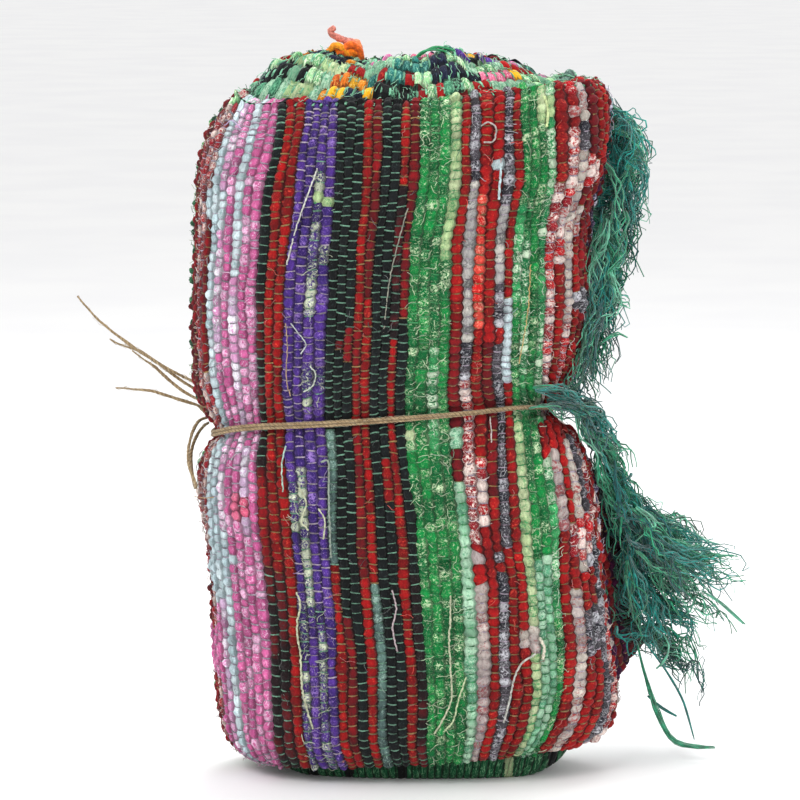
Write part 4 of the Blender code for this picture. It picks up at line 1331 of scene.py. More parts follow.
    def _framed(self, base: Array, normals: Array, puff: Array,
                rib: Array) -> tuple[Array, Array, Array]:
        """Point, way out and way across at places of the patch."""
        at = self.samples(puff, rib)
        over = np.gradient(base, axis=1)
        return looked_up(base, *at), unit(looked_up(normals, *at)), unit(looked_up(over, *at))

    def _crossings(self) -> tuple[Array, Array]:
        """The rib and the number of every groove between two puffs."""
        rib, number = np.meshgrid(np.arange(self.ribs), np.arange(1, self.puffs), indexing="ij")
        return rib.ravel(), number.ravel()

    def _stitch(self, base: Array, normals: Array, rags: Array) -> None:
        """Notes a warp thread in every groove between two puffs.

        Args:
            base: the smooth surface.
            normals: its normals.
            rags: the rag numbers by puff and rib.
        """
        rib, number = self._crossings()
        point, out, over = self._framed(base, normals, number - 0.5 * (rib % 2), rib + 0.5)
        rag = rags[np.minimum(number, self.puffs), rib]
        tilt = self.random.normal(0, 0.10, len(rib))[:, None]
        over = unit(over + np.cross(out, over) * tilt)
        lift = self.rise * (0.5 - YARN_BEAD[rag]) + THREAD_LIFT
        tones = YARN_WARP[rag] * self.random.uniform(0.55, 1.30, len(rib))[:, None]
        self.stitches.add(point + out * lift[:, None], out, over, tones,
                          self.random.uniform(0.85, 1.12, len(rib)))

    def _curl(self, base: Array, normals: Array, rags: Array) -> None:
        """Notes loose curled fibres, more of them on the fuzzy rags.

        Args:
            base: the smooth surface.
            normals: its normals.
            rags: the rag numbers by puff and rib.
        """
        rib, number = self._crossings()
        rag = rags[np.minimum(number, self.puffs), rib]
        count = self.random.poisson(self.curl_share * YARN_CURLS[rag])
        rib, number, rag = (np.repeat(row, count) for row in (rib, number, rag))
        puff = np.clip(number - self.random.random(len(rib)), 0.5, self.puffs - 0.5)
        point, out, over = self._framed(base, normals, puff,
                                        rib + self.random.uniform(0.1, 0.9, len(rib)))
        turn = self.random.uniform(0, 2 * np.pi, len(rib))[:, None]
        over = over * np.cos(turn) + np.cross(out, over) * np.sin(turn)
        out = unit(out + self.random.normal(0, 0.35, out.shape))
        tones = YARN_FLECK[rag] * self.random.uniform(0.55, 1.05, len(rib))[:, None]
        self.curls.add(point + out * (0.62 * self.rise), out, over, tones,
                       self.random.uniform(0.5, 1.5, len(rib)))


def cut_columns(parts: MeshParts, rows: int, columns: int, first: int, last: int) -> MeshParts:
    """Some columns of a woven grid.

    Args:
        parts: the whole grid.
        rows: its rows of points.
        columns: its columns of points.
        first: the first column kept.
        last: the last column kept.

    Returns:
        The kept part, as a grid of its own.
    """
    corners = {key: value.reshape(rows - 1, columns - 1, 4, 4)[:, first:last].reshape(-1, 4)
               for key, value in parts.corner_colours.items()}
    points, lie = (value.reshape(rows, columns, 3)[:, first:last + 1].reshape(-1, 3)
                   for value in (parts.points, parts.point_values["lie"]))
    return MeshParts(points, grid_quads(rows, last - first + 1), corners, {"lie": lie})


# The roll ------------------------------------------------------------------------------

class Patch(NamedTuple):
    """A place on the front with another rag in it, or with its rags standing out further."""

    x: float
    z: float
    wide: float
    high: float
    rag: str
    bulge: float

    def away(self, places: Array) -> Array:
        """How far places lie from its middle, squared, where 1 is its rim; never at the back."""
        squared = (((places[..., 0] - self.x) / self.wide) ** 2
                   + ((places[..., 2] - self.z) / self.high) ** 2)
        return np.where(places[..., 1] < 0, squared, np.inf)


PATCHES = (
    Patch(0.074, 0.381, 0.013, 0.0080, "R", 0.0042),
    Patch(-0.132, 0.234, 0.010, 0.0110, "F", 0.0026),
    Patch(0.073, 0.208, 0.012, 0.0110, "R", 0.0026),
    Patch(0.074, 0.185, 0.011, 0.0120, "R", 0.0026),
    Patch(0.069, 0.508, 0.006, 0.0110, "R", 0.0026),
    Patch(0.135, 0.560, 0.012, 0.0160, "R", 0.0030),
    Patch(0.126, 0.292, 0.012, 0.0120, "R", 0.0022),
    Patch(0.046, 0.296, 0.007, 0.0060, "M", 0.0022),
    Patch(0.012, 0.295, 0.006, 0.0060, "C", 0.0016),
    Patch(-0.063, 0.491, 0.005, 0.0080, "C", 0.0014),
    Patch(-0.066, 0.448, 0.006, 0.0160, "v", 0.0004),
    Patch(-0.072, 0.413, 0.007, 0.0200, "v", 0.0004),
    Patch(-0.074, 0.341, 0.010, 0.0180, "v", 0.0004),
    Patch(-0.084, 0.246, 0.007, 0.0300, "v", 0.0004),
    Patch(0.119, 0.566, 0.005, 0.0160, "C", 0.0016),
    Patch(0.146, 0.561, 0.006, 0.0080, "w", 0.0020),
    Patch(0.083, 0.518, 0.004, 0.0100, "i", 0.0014),
    Patch(0.109, 0.125, 0.006, 0.0110, "w", 0.0026),
    Patch(-0.040, 0.371, 0.010, 0.0140, "D", 0.0002),
    Patch(-0.008, 0.260, 0.010, 0.0200, "R", 0.0004),
    Patch(0.141, 0.473, 0.010, 0.0140, "w", 0.0004),
    Patch(0.150, 0.404, 0.008, 0.0120, "B", 0.0004),
    Patch(0.153, 0.209, 0.010, 0.0200, "x", 0.0004),
    Patch(0.161, 0.130, 0.010, 0.0200, "B", 0.0004),
    Patch(-0.150, 0.483, 0.008, 0.0180, "i", 0.0004),
    Patch(-0.149, 0.180, 0.010, 0.0300, "i", 0.0004),
    Patch(-0.154, 0.109, 0.008, 0.0200, "P", 0.0004),
    Patch(-0.063, 0.584, 0.017, 0.0065, "j", 0.0010),
    Patch(-0.142, 0.572, 0.012, 0.0070, "j", 0.0010),
    Patch(-0.158, 0.560, 0.009, 0.0120, "L", 0.0006),
    Patch(0.036, 0.580, 0.012, 0.0080, "j", 0.0010),
    Patch(0.150, 0.540, 0.006, 0.0100, "B", 0.0006),
    Patch(0.158, 0.512, 0.006, 0.0100, "x", 0.0006),
)


@dataclass
class OuterTurn:
    """The outer turn of the cloth, from the fold under it to the selvedge on top."""

    form: RollForm
    cloth: bpy.types.Material
    puffs: int = 72
    split_rib: int = 49
    fullest_row: float = 5.0
    band_jitter: float = 0.022
    seed: int = 11

    def __post_init__(self) -> None:
        """Makes the weave's own tables."""
        self.weave = Weave(self.form.ribs, self.puffs, self.seed)
        self.places, self.runs = self.form.heights()

    def base(self) -> Array:
        """The smooth surface under the weave, at every sample."""
        rows, columns = self.puffs * self.weave.along + 1, self.form.ribs * self.weave.across + 1
        run = np.linspace(0, self.runs[-1], rows)
        places = np.interp(run, self.runs, self.places)
        return self.form.side(places, np.arange(columns) / self.weave.across)

    def rags(self) -> Array:
        """Reads the weaver's chart.

        Returns:
            The rag number at every puff and rib.
        """
        random = np.random.default_rng(self.seed + 1)
        rows = sorted(STRIPE_CHART, key=lambda row: row.height)
        charts = np.array([charted(row.back + row.front) for row in rows])
        edges = np.array([row.height for row in rows[1:]])
        jitter = random.normal(0, self.band_jitter, (len(edges), self.form.ribs))
        run = np.linspace(0, self.runs[-1], self.puffs + 1)
        heights = np.array([mean_height(self.form.row(place))
                            for place in np.interp(run, self.runs, self.places)])
        band = (heights[:, None, None] > (edges[:, None] + jitter)[None]).sum(1)
        return charts[band, np.arange(self.form.ribs)[None, :]]

    def patched(self, base: Array, rags: Array) -> tuple[Array, Array]:
        """The rags and the bulges once the patches are in.

        Args:
            base: the smooth surface.
            rags: the charted rags.

        Returns:
            The rags by puff and rib, and how far each sample stands out.
        """
        rags, bulge = rags.copy(), np.zeros(base.shape[:2])
        puff, rib = np.meshgrid(np.arange(rags.shape[0]), np.arange(rags.shape[1]), indexing="ij")
        middles = looked_up(base, (puff - 0.5 * (rib % 2) + 0.5) * self.weave.along,
                            (rib + 0.5) * self.weave.across)
        for patch in PATCHES:
            rags[patch.away(middles) < 1] = RAG_NUMBER[patch.rag]
            bulge += patch.bulge * np.exp(-patch.away(base))
        return rags, bulge

    def build(self) -> list[bpy.types.Object]:
        """Builds the turn as a front and a back sheet.

        Returns:
            The two sheets.
        """
        base = self.base()
        rows, columns = base.shape[:2]
        whole = self.weave.laid(base, *self.patched(base, self.rags()))
        split = self.split_rib * self.weave.across
        length = self.form.arcs(self.form.row(self.fullest_row))[1][-1]
        pieces = []
        for name, first, last in (("rug_turn_front", split, columns - 1),
                                  ("rug_turn_back", 0, split)):
            part = cut_columns(whole, rows, columns, first, last)
            piece = dressed(part.made(name, self.cloth), ("rug_roll",))
            pieces.append(piece)
        return pieces


# The rags of the wound selvedges from left to right, as seen on the front and on the back of
# one ridge after another.
TOP_CHART = (
    ("bbbMMCFYYYNKKNbRbjMjRMRMjCDRbD", "DRbMjjKKNVvPPiMMRRbGgGCRxBWRDL"),
    ("NNKNKMjMOOYTTRbjjNNNFFYMMjqqLi", "iLqMMYFNNjjbRTTYOOMjMKNKNNbMMC"),
    ("MMbNjjCCRRbMMTTNNbjjMMRRDDMMii", "RRMMbjjKKGgGPPiVvVKKRDbMMCCxxB"),
    ("GgMMRRbNNYYMMjjTTKKVvPPiiMMRRD", "MjTTRRKKbMMGGgCxRWBKKVVvPPpRRM"),
    ("RRMMjjGGbKKNPPFFMMYYRRDDTTMMbb", "bbTTMMYYRRDDGGgMMjjPPKKNNbRRMM"),
    ("KKMMRRGgGjjMMPPVVbbTTRRDDMMYYb", "MMRRbbGGjjKKPPVVYYTTMMDDRRbbMM"),
)


class Lump(NamedTuple):
    """A place at which the rolled selvedges stand higher or lower than usual."""

    x: float
    y: float
    rise: float
    reach: float

    def lift(self, places: Array) -> Array:
        """How far it lifts places of the cap."""
        away = ((places[..., 0] - self.x) ** 2 + (places[..., 1] - self.y) ** 2) / self.reach ** 2
        return self.rise * np.exp(-away)


TOP_LUMPS = (
    Lump(-0.094, -0.020, 0.004, 0.014), Lump(-0.066, -0.010, 0.009, 0.014),
    Lump(-0.028, -0.014, -0.003, 0.010), Lump(0.004, -0.016, 0.004, 0.011),
    Lump(0.040, -0.006, 0.009, 0.017), Lump(0.088, -0.012, 0.002, 0.012),
    Lump(0.119, -0.010, -0.005, 0.008), Lump(0.142, -0.004, 0.005, 0.013),
    Lump(-0.080, 0.030, 0.004, 0.018), Lump(0.020, 0.032, 0.004, 0.016),
    Lump(0.100, 0.030, 0.003, 0.016), Lump(-0.020, 0.024, -0.004, 0.014),
)


@dataclass
class Ridges:
    """The wound ridges of the top.

    Attributes:
        phases: for each ridge, how many of its loops lie before every column.
        counts: for each ridge, its number of loops.
        rags: for each ridge, the rag of every loop.
    """

    phases: Array
    counts: Array
    rags: Array


@dataclass
class TopSelvedges:
    """The wound selvedges on top: ridge beside ridge, each a row of rag loops."""

    form: RollForm
    cloth: bpy.types.Material
    stitches: Stitches
    curls: Stitches
    pitch: float = 0.01075
    lead: float = 0.0024
    ring: float = 0.00125
    reach: float = 0.0625
    loop: float = 0.0074
    most_loops: int = 400
    wander: float = 0.020
    dome: float = 0.040
    ridge_rise: float = 0.0062
    wave_rise: float = 0.0015
    loop_rise: float = 0.0014
    sink: float = 0.0052
    back_sinks: float = 0.004
    chart_left: float = -0.135
    chart_step: float = 0.010
    warp: Rgb = (116, 182, 146)
    seed: int = 21

    def build(self, outer: OuterTurn) -> bpy.types.Object:
        """Builds the top as one closed cap.

        Args:
            outer: the outer turn, whose rags end in the first ridge.

        Returns:
            The cap.
        """
        random = np.random.default_rng(self.seed)
        ribs = np.arange(self.form.ribs * Weave.across + 1) / Weave.across
        row = self.form.row(len(SECTIONS) - 1)
        angle, share = self.form.rib_angles(row, ribs)
        insets = np.arange(0, self.reach, self.ring)[:, None]
        base = self._surface(row, angle, share, insets)
        place = self._places(insets, share, random)
        ridges = self._wound(base, ribs, outer.rags()[-1], random)
        count = len(ridges.counts)
        ridge = np.clip(place.astype(int), 0, count - 1)
        slow = random.normal(0, 1, (count, 26))
        fat = random.normal(0, 1, (count, self.most_loops))
        tone = random.normal(1, 0.15, (count, self.most_loops))
        phase = ridges.phases[ridge, np.arange(len(ribs))]
        loop = np.minimum(phase.astype(int), ridges.counts[ridge] - 1)
        rag = ridges.rags[ridge, loop]
        hill = np.clip(1 - abs(2 * (place - ridge) - 1) ** 2.3, 0, 1) ** 0.5
        puffed = np.clip(1 - abs(2 * (phase - loop) - 1) ** 2.2, 0, 1) ** 0.5
        wave = looked_up(slow, ridge.astype(float), phase / ridges.counts[ridge] * 25)
        height = (self.ridge_rise * (hill * (0.45 + 0.55 * puffed)) - self.sink
                  + self.wave_rise * wave * hill
                  + self.loop_rise * fat[ridge, loop] * hill * puffed) * smooth(insets / 0.0028)
        for lump in TOP_LUMPS:
            height += lump.lift(base)
        points = base.copy()
        points[..., 2] += height
        self._sew(points, ridges, np.random.default_rng(self.seed + 1))
        turned = (fat[ridge, (loop * 7) % self.most_loops] > 0.4)[..., None]
        own = np.where(turned, YARN_ALT[rag], YARN_BASE[rag]) * tone[ridge, loop][..., None]
        spots = np.concatenate([YARN_FLECK[rag], 1.2 * YARN_SHARE[rag][..., None]], -1)
        corners = {"rag": cornered(opaque(own)[:-1, :-1]),
                   "fleck": cornered(np.clip(spots, 0, 1)[:-1, :-1]),
                   "cell": self._cells(place, ridge, ridges.phases, rag)}
        lie = np.stack(np.broadcast_arrays(ribs * RIB_WIDTH, insets + 3.0, 0.5), -1)
        parts = MeshParts(points.reshape(-1, 3), grid_quads(len(insets), len(ribs)), corners,
                          {"lie": lie.reshape(-1, 3)})
        return dressed(parts.made("rug_top", self.cloth), ("rug_roll",))

    def _surface(self, row: Array, angle: Array, share: Array, insets: Array) -> Array:
        """The smooth cap under the ridges.

        Args:
            row: the form's highest row.
            angle: the angle of every column.
            share: the share of the way round at every column.
            insets: how far inside the outline each ring lies.

        Returns:
            Points by ring and column.
        """
        points = self.form.outline(row, angle, -(insets + self.form.ledge(share, insets)))
        high = np.interp(points[..., 0], TOP_LINE[:, 0], TOP_LINE[:, 1])
        points[..., 2] = mixed(points[..., 2], high, smooth(insets / self.dome))
        base = self.form.settled(points)
        base[-1, :, 1] *= CLOSED
        base[..., 2] -= self.back_sinks * smooth((base[..., 1] - 0.008) / 0.03)
        return base

    def _places(self, insets: Array, share: Array, random: np.random.Generator) -> Array:
        """How many ridges lie before each point of the cap, which wanders as the cloth does."""
        steps = np.linspace(0, 1, 41)
        closed = np.minimum(1, 6 * np.minimum(steps, 1 - steps))
        wander = np.interp(share, steps, random.normal(0, self.wander, 41) * closed)
        return (insets * (1 + 8 * wander * smooth(insets / 0.02)) + self.lead) / self.pitch

    def _wound(self, base: Array, ribs: Array, first: Array,
               random: np.random.Generator) -> Ridges:
        """Counts the loops of every ridge and gives each its charted rag.

        Args:
            base: the smooth cap.
            ribs: the rib at every column.
            first: the rags of the first ridge, one a rib.
            random: the source of the chart's unevenness.

        Returns:
            The ridges.
        """
        count = int((self.reach + self.lead) / self.pitch) + 2
        ridges = Ridges(np.zeros((count, len(ribs))), np.full(count, len(first)),
                        np.zeros((count, self.most_loops), int))
        ridges.phases[0] = ribs
        ridges.rags[0, :len(first)] = first
        charts = [[charted(text) for text in pair] for pair in TOP_CHART]
        columns = np.arange(len(ribs))
        for number in range(1, count):
            middle = ((number + 0.5) * self.pitch - self.lead) / self.ring
            ring = base[min(int(middle), len(base) - 1)]
            run = run_along(ring[:, :2])
            loops = max(8, round(run[-1] / self.loop))
            phase = run / run[-1] * loops
            at = np.interp(np.arange(loops) + 0.5, phase, columns)
            x, y = (np.interp(at, columns, ring[:, n]) for n in (0, 1))
            step = (x + random.normal(0, 0.010, loops) - self.chart_left) / self.chart_step
            front, back = charts[(number - 1) % len(charts)]
            step = np.clip(step.astype(int), 0, len(front) - 1)
            ridges.phases[number], ridges.counts[number] = phase, loops
            ridges.rags[number, :loops] = np.where(y < 0, front[step], back[step])
        return ridges

    @staticmethod
    def _cells(place: Array, ridge: Array, phases: Array, rag: Array) -> Array:
        """The puff cells of the cap, whose ridges take the place of ribs."""
        own, column = ridge[:-1, :-1], np.arange(place.shape[1] - 1)
        across = [2 * (place[rows, :-1] - own) - 1 for rows in (slice(None, -1), slice(1, None))]
        along = [phases[own, column + step] for step in (0, 1)]
        return cells(across, along, rag[:-1, :-1], BY_RIDGE)

    def _sew(self, points: Array, ridges: Ridges, random: np.random.Generator) -> None:
        """Notes the warp threads and fibres that wrap the ridges between their rag loops.

        Args:
            points: the cap's points, by ring and column.
            ridges: its ridges.
            random: the source of the threads' own differences.
        """
        over, around = np.gradient(points, axis=0), np.gradient(points, axis=1)
        for number, count in enumerate(ridges.counts[:-1]):
            ring = ((number + 0.5) * self.pitch - self.lead) / self.ring
            if ring >= len(points) - 2:
                break
            phase = ridges.phases[number]
            column = np.interp(np.arange(count), phase, np.arange(len(phase)))
            at = (np.full(count, ring), column)
            way = unit(looked_up(over, *at))
            out = unit(np.cross(unit(looked_up(around, *at)), way))
            out[out[:, 2] < 0] *= -1
            tones = opaque(linear(self.warp) * random.uniform(0.6, 1.3, count)[:, None])[:, :3]
            self.stitches.add(looked_up(points, *at) + out * THREAD_LIFT, out, way, tones,
                              random.uniform(1.2, 1.6, count))
            near = (at[0] + random.uniform(-3.5, 3.5, count),
                    at[1] + random.uniform(-3.0, 3.0, count))
            aside = unit(way + np.cross(out, way) * random.normal(0, 0.8, (count, 1)))
            self.curls.add(looked_up(points, *near) + out * 0.0012, out, aside, tones * 1.10,
                           random.uniform(0.5, 1.4, count))


# The rags of the underside from left to right: round the fold of the outer turn, and on the
# fold of the next turn.
BASE_CHART = ("ddKddddKdddKdddddKdddddddddddCddddKdddddd",
              "dGddRdPPdKdVddGdgddRRdKdMddGdddPdddGdKddd")


@dataclass
class BaseFolds:
    """The underside: the outer turn's fold, and the fold of the next turn that it stands on."""

    form: RollForm
    cloth: bpy.types.Material
    ring: float = 0.00165
    reach: float = 0.0625
    rise: float = 0.0024
    puff: float = 0.0085
    fold_ends: float = 0.0070
    next_turn: float = 0.039
    chart_left: float = -0.13
    chart_step: float = 0.0075
    stands_under: float = 0.004
    seed: int = 31

    def build(self, outer: OuterTurn) -> bpy.types.Object:
        """Builds the base as one closed cap.

        Args:
            outer: the outer turn, whose rags go on round its fold.

        Returns:
            The cap.
        """
        fat = np.random.default_rng(self.seed).normal(0, 1, (12, 100))
        ribs = np.arange(self.form.ribs * Weave.across + 1) / Weave.across
        insets = np.arange(0, self.reach, self.ring)[:, None]
        column = np.minimum(ribs.astype(int), self.form.ribs - 1)
        a = 2 * (ribs - column) - 1
        phase = insets / self.puff + 0.5 * (column % 2) + 0.2
        number = phase.astype(int)
        lift = rounded(a, 0.62) * (0.5 + 0.5 * rounded(2 * (phase - number) - 1, 0.55))
        grid = self._surface(ribs, insets, lift)
        rag = self._rags(grid[..., 0], insets, outer.rags()[0][column])
        own = YARN_BASE[rag] * (0.85 + 0.16 * fat[number % 12, column % 100])[..., None]
        spots = np.concatenate([YARN_FLECK[rag], YARN_SHARE[rag][..., None]], -1)
        left, low = a[:-1], phase[:-1, :-1]
        corners = {"rag": cornered(opaque(own)[:-1, :-1]), "fleck": cornered(spots[:-1, :-1]),
                   "cell": cells((left, left + 2 / Weave.across),
                                 (low, low + self.ring / self.puff), rag[:-1, :-1])}
        lie = np.stack(np.broadcast_arrays(ribs * RIB_WIDTH, insets + 5.0, 0.7), -1)
        facing_down = grid_quads(len(insets), len(ribs))[:, ::-1]
        parts = MeshParts(grid.reshape(-1, 3), facing_down, corners,
                          {"lie": lie.reshape(-1, 3)})
        return dressed(parts.made("rug_base", self.cloth), ("rug_roll",))

    def _surface(self, ribs: Array, insets: Array, lift: Array) -> Array:
        """The underside with its beads, pressed flat where the roll stands on it.

        Args:
            ribs: the rib at every column.
            insets: how far inside the outline each ring lies.
            lift: how full the bead is at every point, 0 to 1.

        Returns:
            Points by ring and column.
        """
        form, row = self.form, self.form.row(0.0)
        angle, share = form.rib_angles(row, ribs)
        side = form.outline(row, angle, form.swelling(angle, share, mean_height(row))
                            - form.ledge(share))
        grid = form.outline(row, angle, -(insets + form.ledge(share, insets)))
        past = np.maximum(0, np.maximum(form.rest_left - grid[..., 0],
                                        grid[..., 0] - form.rest_right))
        fold = smooth_route(np.column_stack([BASE_RINGS, np.zeros(len(BASE_RINGS))]), 0.0005)
        level = np.maximum(np.interp(insets, fold[:, 0], fold[:, 1]), 0.0)
        level = level + form.rest_curl * past ** 2
        bend = smooth(insets / 0.006)
        raised = np.where(level < self.stands_under, 0.0, 1.0)
        pressed = np.where(insets < 0.010, 0.0, 0.2 * self.rise) * (1 - raised)
        high = mixed(side[:, 2], level, bend)
        high += (np.maximum(0.0, (0.5 - lift) * self.rise) * bend * (0.3 + 0.7 * raised)
                 + pressed * (1 - lift))
        grid[..., :2] = mixed(side[:, :2], grid[..., :2], smooth(insets / 0.002)[..., None])
        grid[..., 2] = np.maximum(high, 0.0)
        grid[-1, :, 1] *= CLOSED
        return grid

    def _rags(self, x: Array, insets: Array, outer: Array) -> Array:
        """The rag at every point of the underside.

        Args:
            x: the point's place across.
            insets: how far inside the outline its ring lies.
            outer: the outer turn's rag in its column, which goes on round the fold.

        Returns:
            The rag numbers.
        """
        fold, following = (charted(text) for text in BASE_CHART)
        step = ((x - self.chart_left) / self.chart_step).astype(int)
        inside = np.where(insets > self.next_turn, following[np.clip(step, 0, len(following) - 1)],
                          fold[np.clip(step, 0, len(fold) - 1)])
        return np.where(insets < self.fold_ends, outer, inside)


# The loose end and its fringe ----------------------------------------------------------

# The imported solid's own rows: height at the ledge, height at the tip, and how far it stands out.
LOOSE_ROWS = np.array((
    (0.066, 0.094, 0.050), (0.102, 0.124, 0.050), (0.150, 0.164, 0.046), (0.208, 0.214, 0.036),
    (0.258, 0.260, 0.022), (0.288, 0.288, 0.008), (0.305, 0.305, 0.000), (0.312, 0.312, 0.000),
    (0.330, 0.330, 0.004), (0.358, 0.358, 0.014), (0.408, 0.408, 0.025), (0.462, 0.461, 0.029),
    (0.512, 0.510, 0.030), (0.548, 0.545, 0.031), (0.566, 0.562, 0.032)))
LOOSE_CHART = ("LuDuku", "uKuDuK", "LuDukL", "uDuKuD")


@dataclass
class LooseEnd:
    """The outer end of the cloth, a double-faced flap that stands out from the roll."""

    form: RollForm
    cloth: bpy.types.Material
    reach: float = 0.050
    way: tuple[float, float, float] = (0.94, 0.34, 0.0)
    flare: float = 1.7
    ribs: int = 6
    puffs: int = 57
    band: int = 16
    seam_colour: Rgb = (60, 20, 46)
    seam_fleck: Rgb = (120, 60, 90)
    seed: int = 41

    def point(self, height: float, reach: Array, inward: Array) -> Array:
        """Points of the flap at one height of the ledge.

        Args:
            height: the height at the ledge.
            reach: ways along the cloth from the ledge.
            inward: how far through the cloth.

        Returns:
            The points.
        """
        root, tip, out = (np.interp(height, LOOSE_ROWS[:, 0], LOOSE_ROWS[:, n]) for n in range(3))
        place = np.interp(height, SECTIONS[:, Z_RIGHT], np.arange(len(SECTIONS)))
        row = self.form.row(float(place))
        angle, length, _ = self.form.arcs(row)
        at = np.interp(reach, length, angle)
        share = reach / self.reach
        points = self.form.outline(row, at)
        away = self.form.outline(row, at, 1.0) - points
        away[:, 2] = 0
        points = points - unit(away) * np.asarray(inward)[:, None]
        points = points + np.array(self.way) * out * share[:, None] ** self.flare
        points[:, 2] += (tip - root) * share
        return points

    def face(self, inward: float) -> Array:
        """One smooth face of the flap.

        Args:
            inward: how far through the cloth it lies.

        Returns:
            Its points at every sample of the weave.
        """
        rows, columns = self.puffs * Weave.along + 1, self.ribs * Weave.across + 1
        heights = np.linspace(LOOSE_ROWS[0, 0], LOOSE_ROWS[-1, 0], rows)
        reach = np.linspace(0.0006, self.reach, columns)
        return np.array([self.point(height, reach, np.full(columns, inward))
                         for height in heights])

    def build(self) -> bpy.types.Object:
        """Builds the flap: a woven face on each side, and a seam round its edge.

        Returns:
            The flap.
        """
        rise = self.form.rib_rise
        outer, inner = self.face(rise / 2), self.face(self.form.cloth - rise / 2)
        rags = np.array([charted(LOOSE_CHART[(n // self.band) % len(LOOSE_CHART)])
                         for n in range(self.puffs + 1)])
        self.weave = Weave(self.ribs, self.puffs, self.seed, rise=0.0030, slip=0.10, drift=0.0)
        front = self.weave.laid(outer, rags)
        back_weave = Weave(self.ribs, self.puffs, self.seed + 1, rise=0.0026, slip=0.10, drift=0.0)
        back = back_weave.laid(inner[:, ::-1], rags[:, ::-1])
        self.weave.stitches.noted += back_weave.stitches.noted
        whole = joined([front, back])
        seam = self._seam(*outer.shape[:2])
        shade = {"rag": (*linear(self.seam_colour), 1.0), "fleck": (*linear(self.seam_fleck), 0.2),
                 "cell": (0.0, 0.5, 0.0, 1.0)}
        for key, values in shade.items():
            whole.corner_colours[key] = np.vstack([whole.corner_colours[key],
                                                   np.tile(values, (len(seam) * 4, 1))])
        whole.quads = np.vstack([whole.quads, seam])
        return dressed(whole.made("rug_flap", self.cloth), ("rug_loose_end",))

    @staticmethod
    def _seam(rows: int, columns: int) -> Array:
        """The quads that close the gap between the two faces along all four edges.

        Args:
            rows: rows of points of one face.
            columns: points in a row.

        Returns:
            Point numbers, four for each quad.
        """
        grid = np.arange(rows * columns).reshape(rows, columns)
        other = grid + rows * columns
        rims = [(grid[:, -1], other[:, 0]), (other[:, -1], grid[:, 0]),
                (grid[0, ::-1], other[0]), (grid[-1], other[-1, ::-1])]
        return np.vstack([np.stack([first[:-1], second[:-1], second[1:], first[1:]], -1)
                          for first, second in rims])


# A row for each height of the fringe's strip: reach to the right and to the back, and drop.
FRINGE_ROWS = np.array((
    (0.094, 0.046, 0.004, 0.074), (0.124, 0.054, 0.008, 0.046), (0.160, 0.088, 0.012, 0.046),
    (0.205, 0.112, 0.020, 0.040), (0.235, 0.078, 0.038, 0.058), (0.260, 0.054, 0.044, 0.072),
    (0.290, 0.044, 0.042, 0.078), (0.335, 0.026, 0.014, 0.060), (0.400, 0.026, 0.004, 0.074),
    (0.500, 0.024, 0.004, 0.080), (0.565, 0.030, 0.005, 0.076)))
# Where the locks fall before they spread: heights, and how much they do.
FALLS_FIRST = ((0.15, 0.19, 0.235, 0.29, 0.335, 0.36), (0.1, 0.0, 0.8, 1.0, 0.4, 0.0))

TEAL = (16, 132, 122)
SEA_GREEN = (46, 146, 108)
MINT = (104, 184, 152)
DEEP_TEAL = (8, 90, 88)
BOTTLE = (18, 90, 66)
FRINGE_TONES = (TEAL, SEA_GREEN, MINT, TEAL, DEEP_TEAL, SEA_GREEN, BOTTLE, SEA_GREEN, TEAL,
                DEEP_TEAL)


class StrayThread(NamedTuple):
    """A thread of the fringe that strays from the rest, with points across, deep and high."""

    points: tuple[tuple[float, float, float], ...]
    strands: int
    spread: float
    tone: Rgb


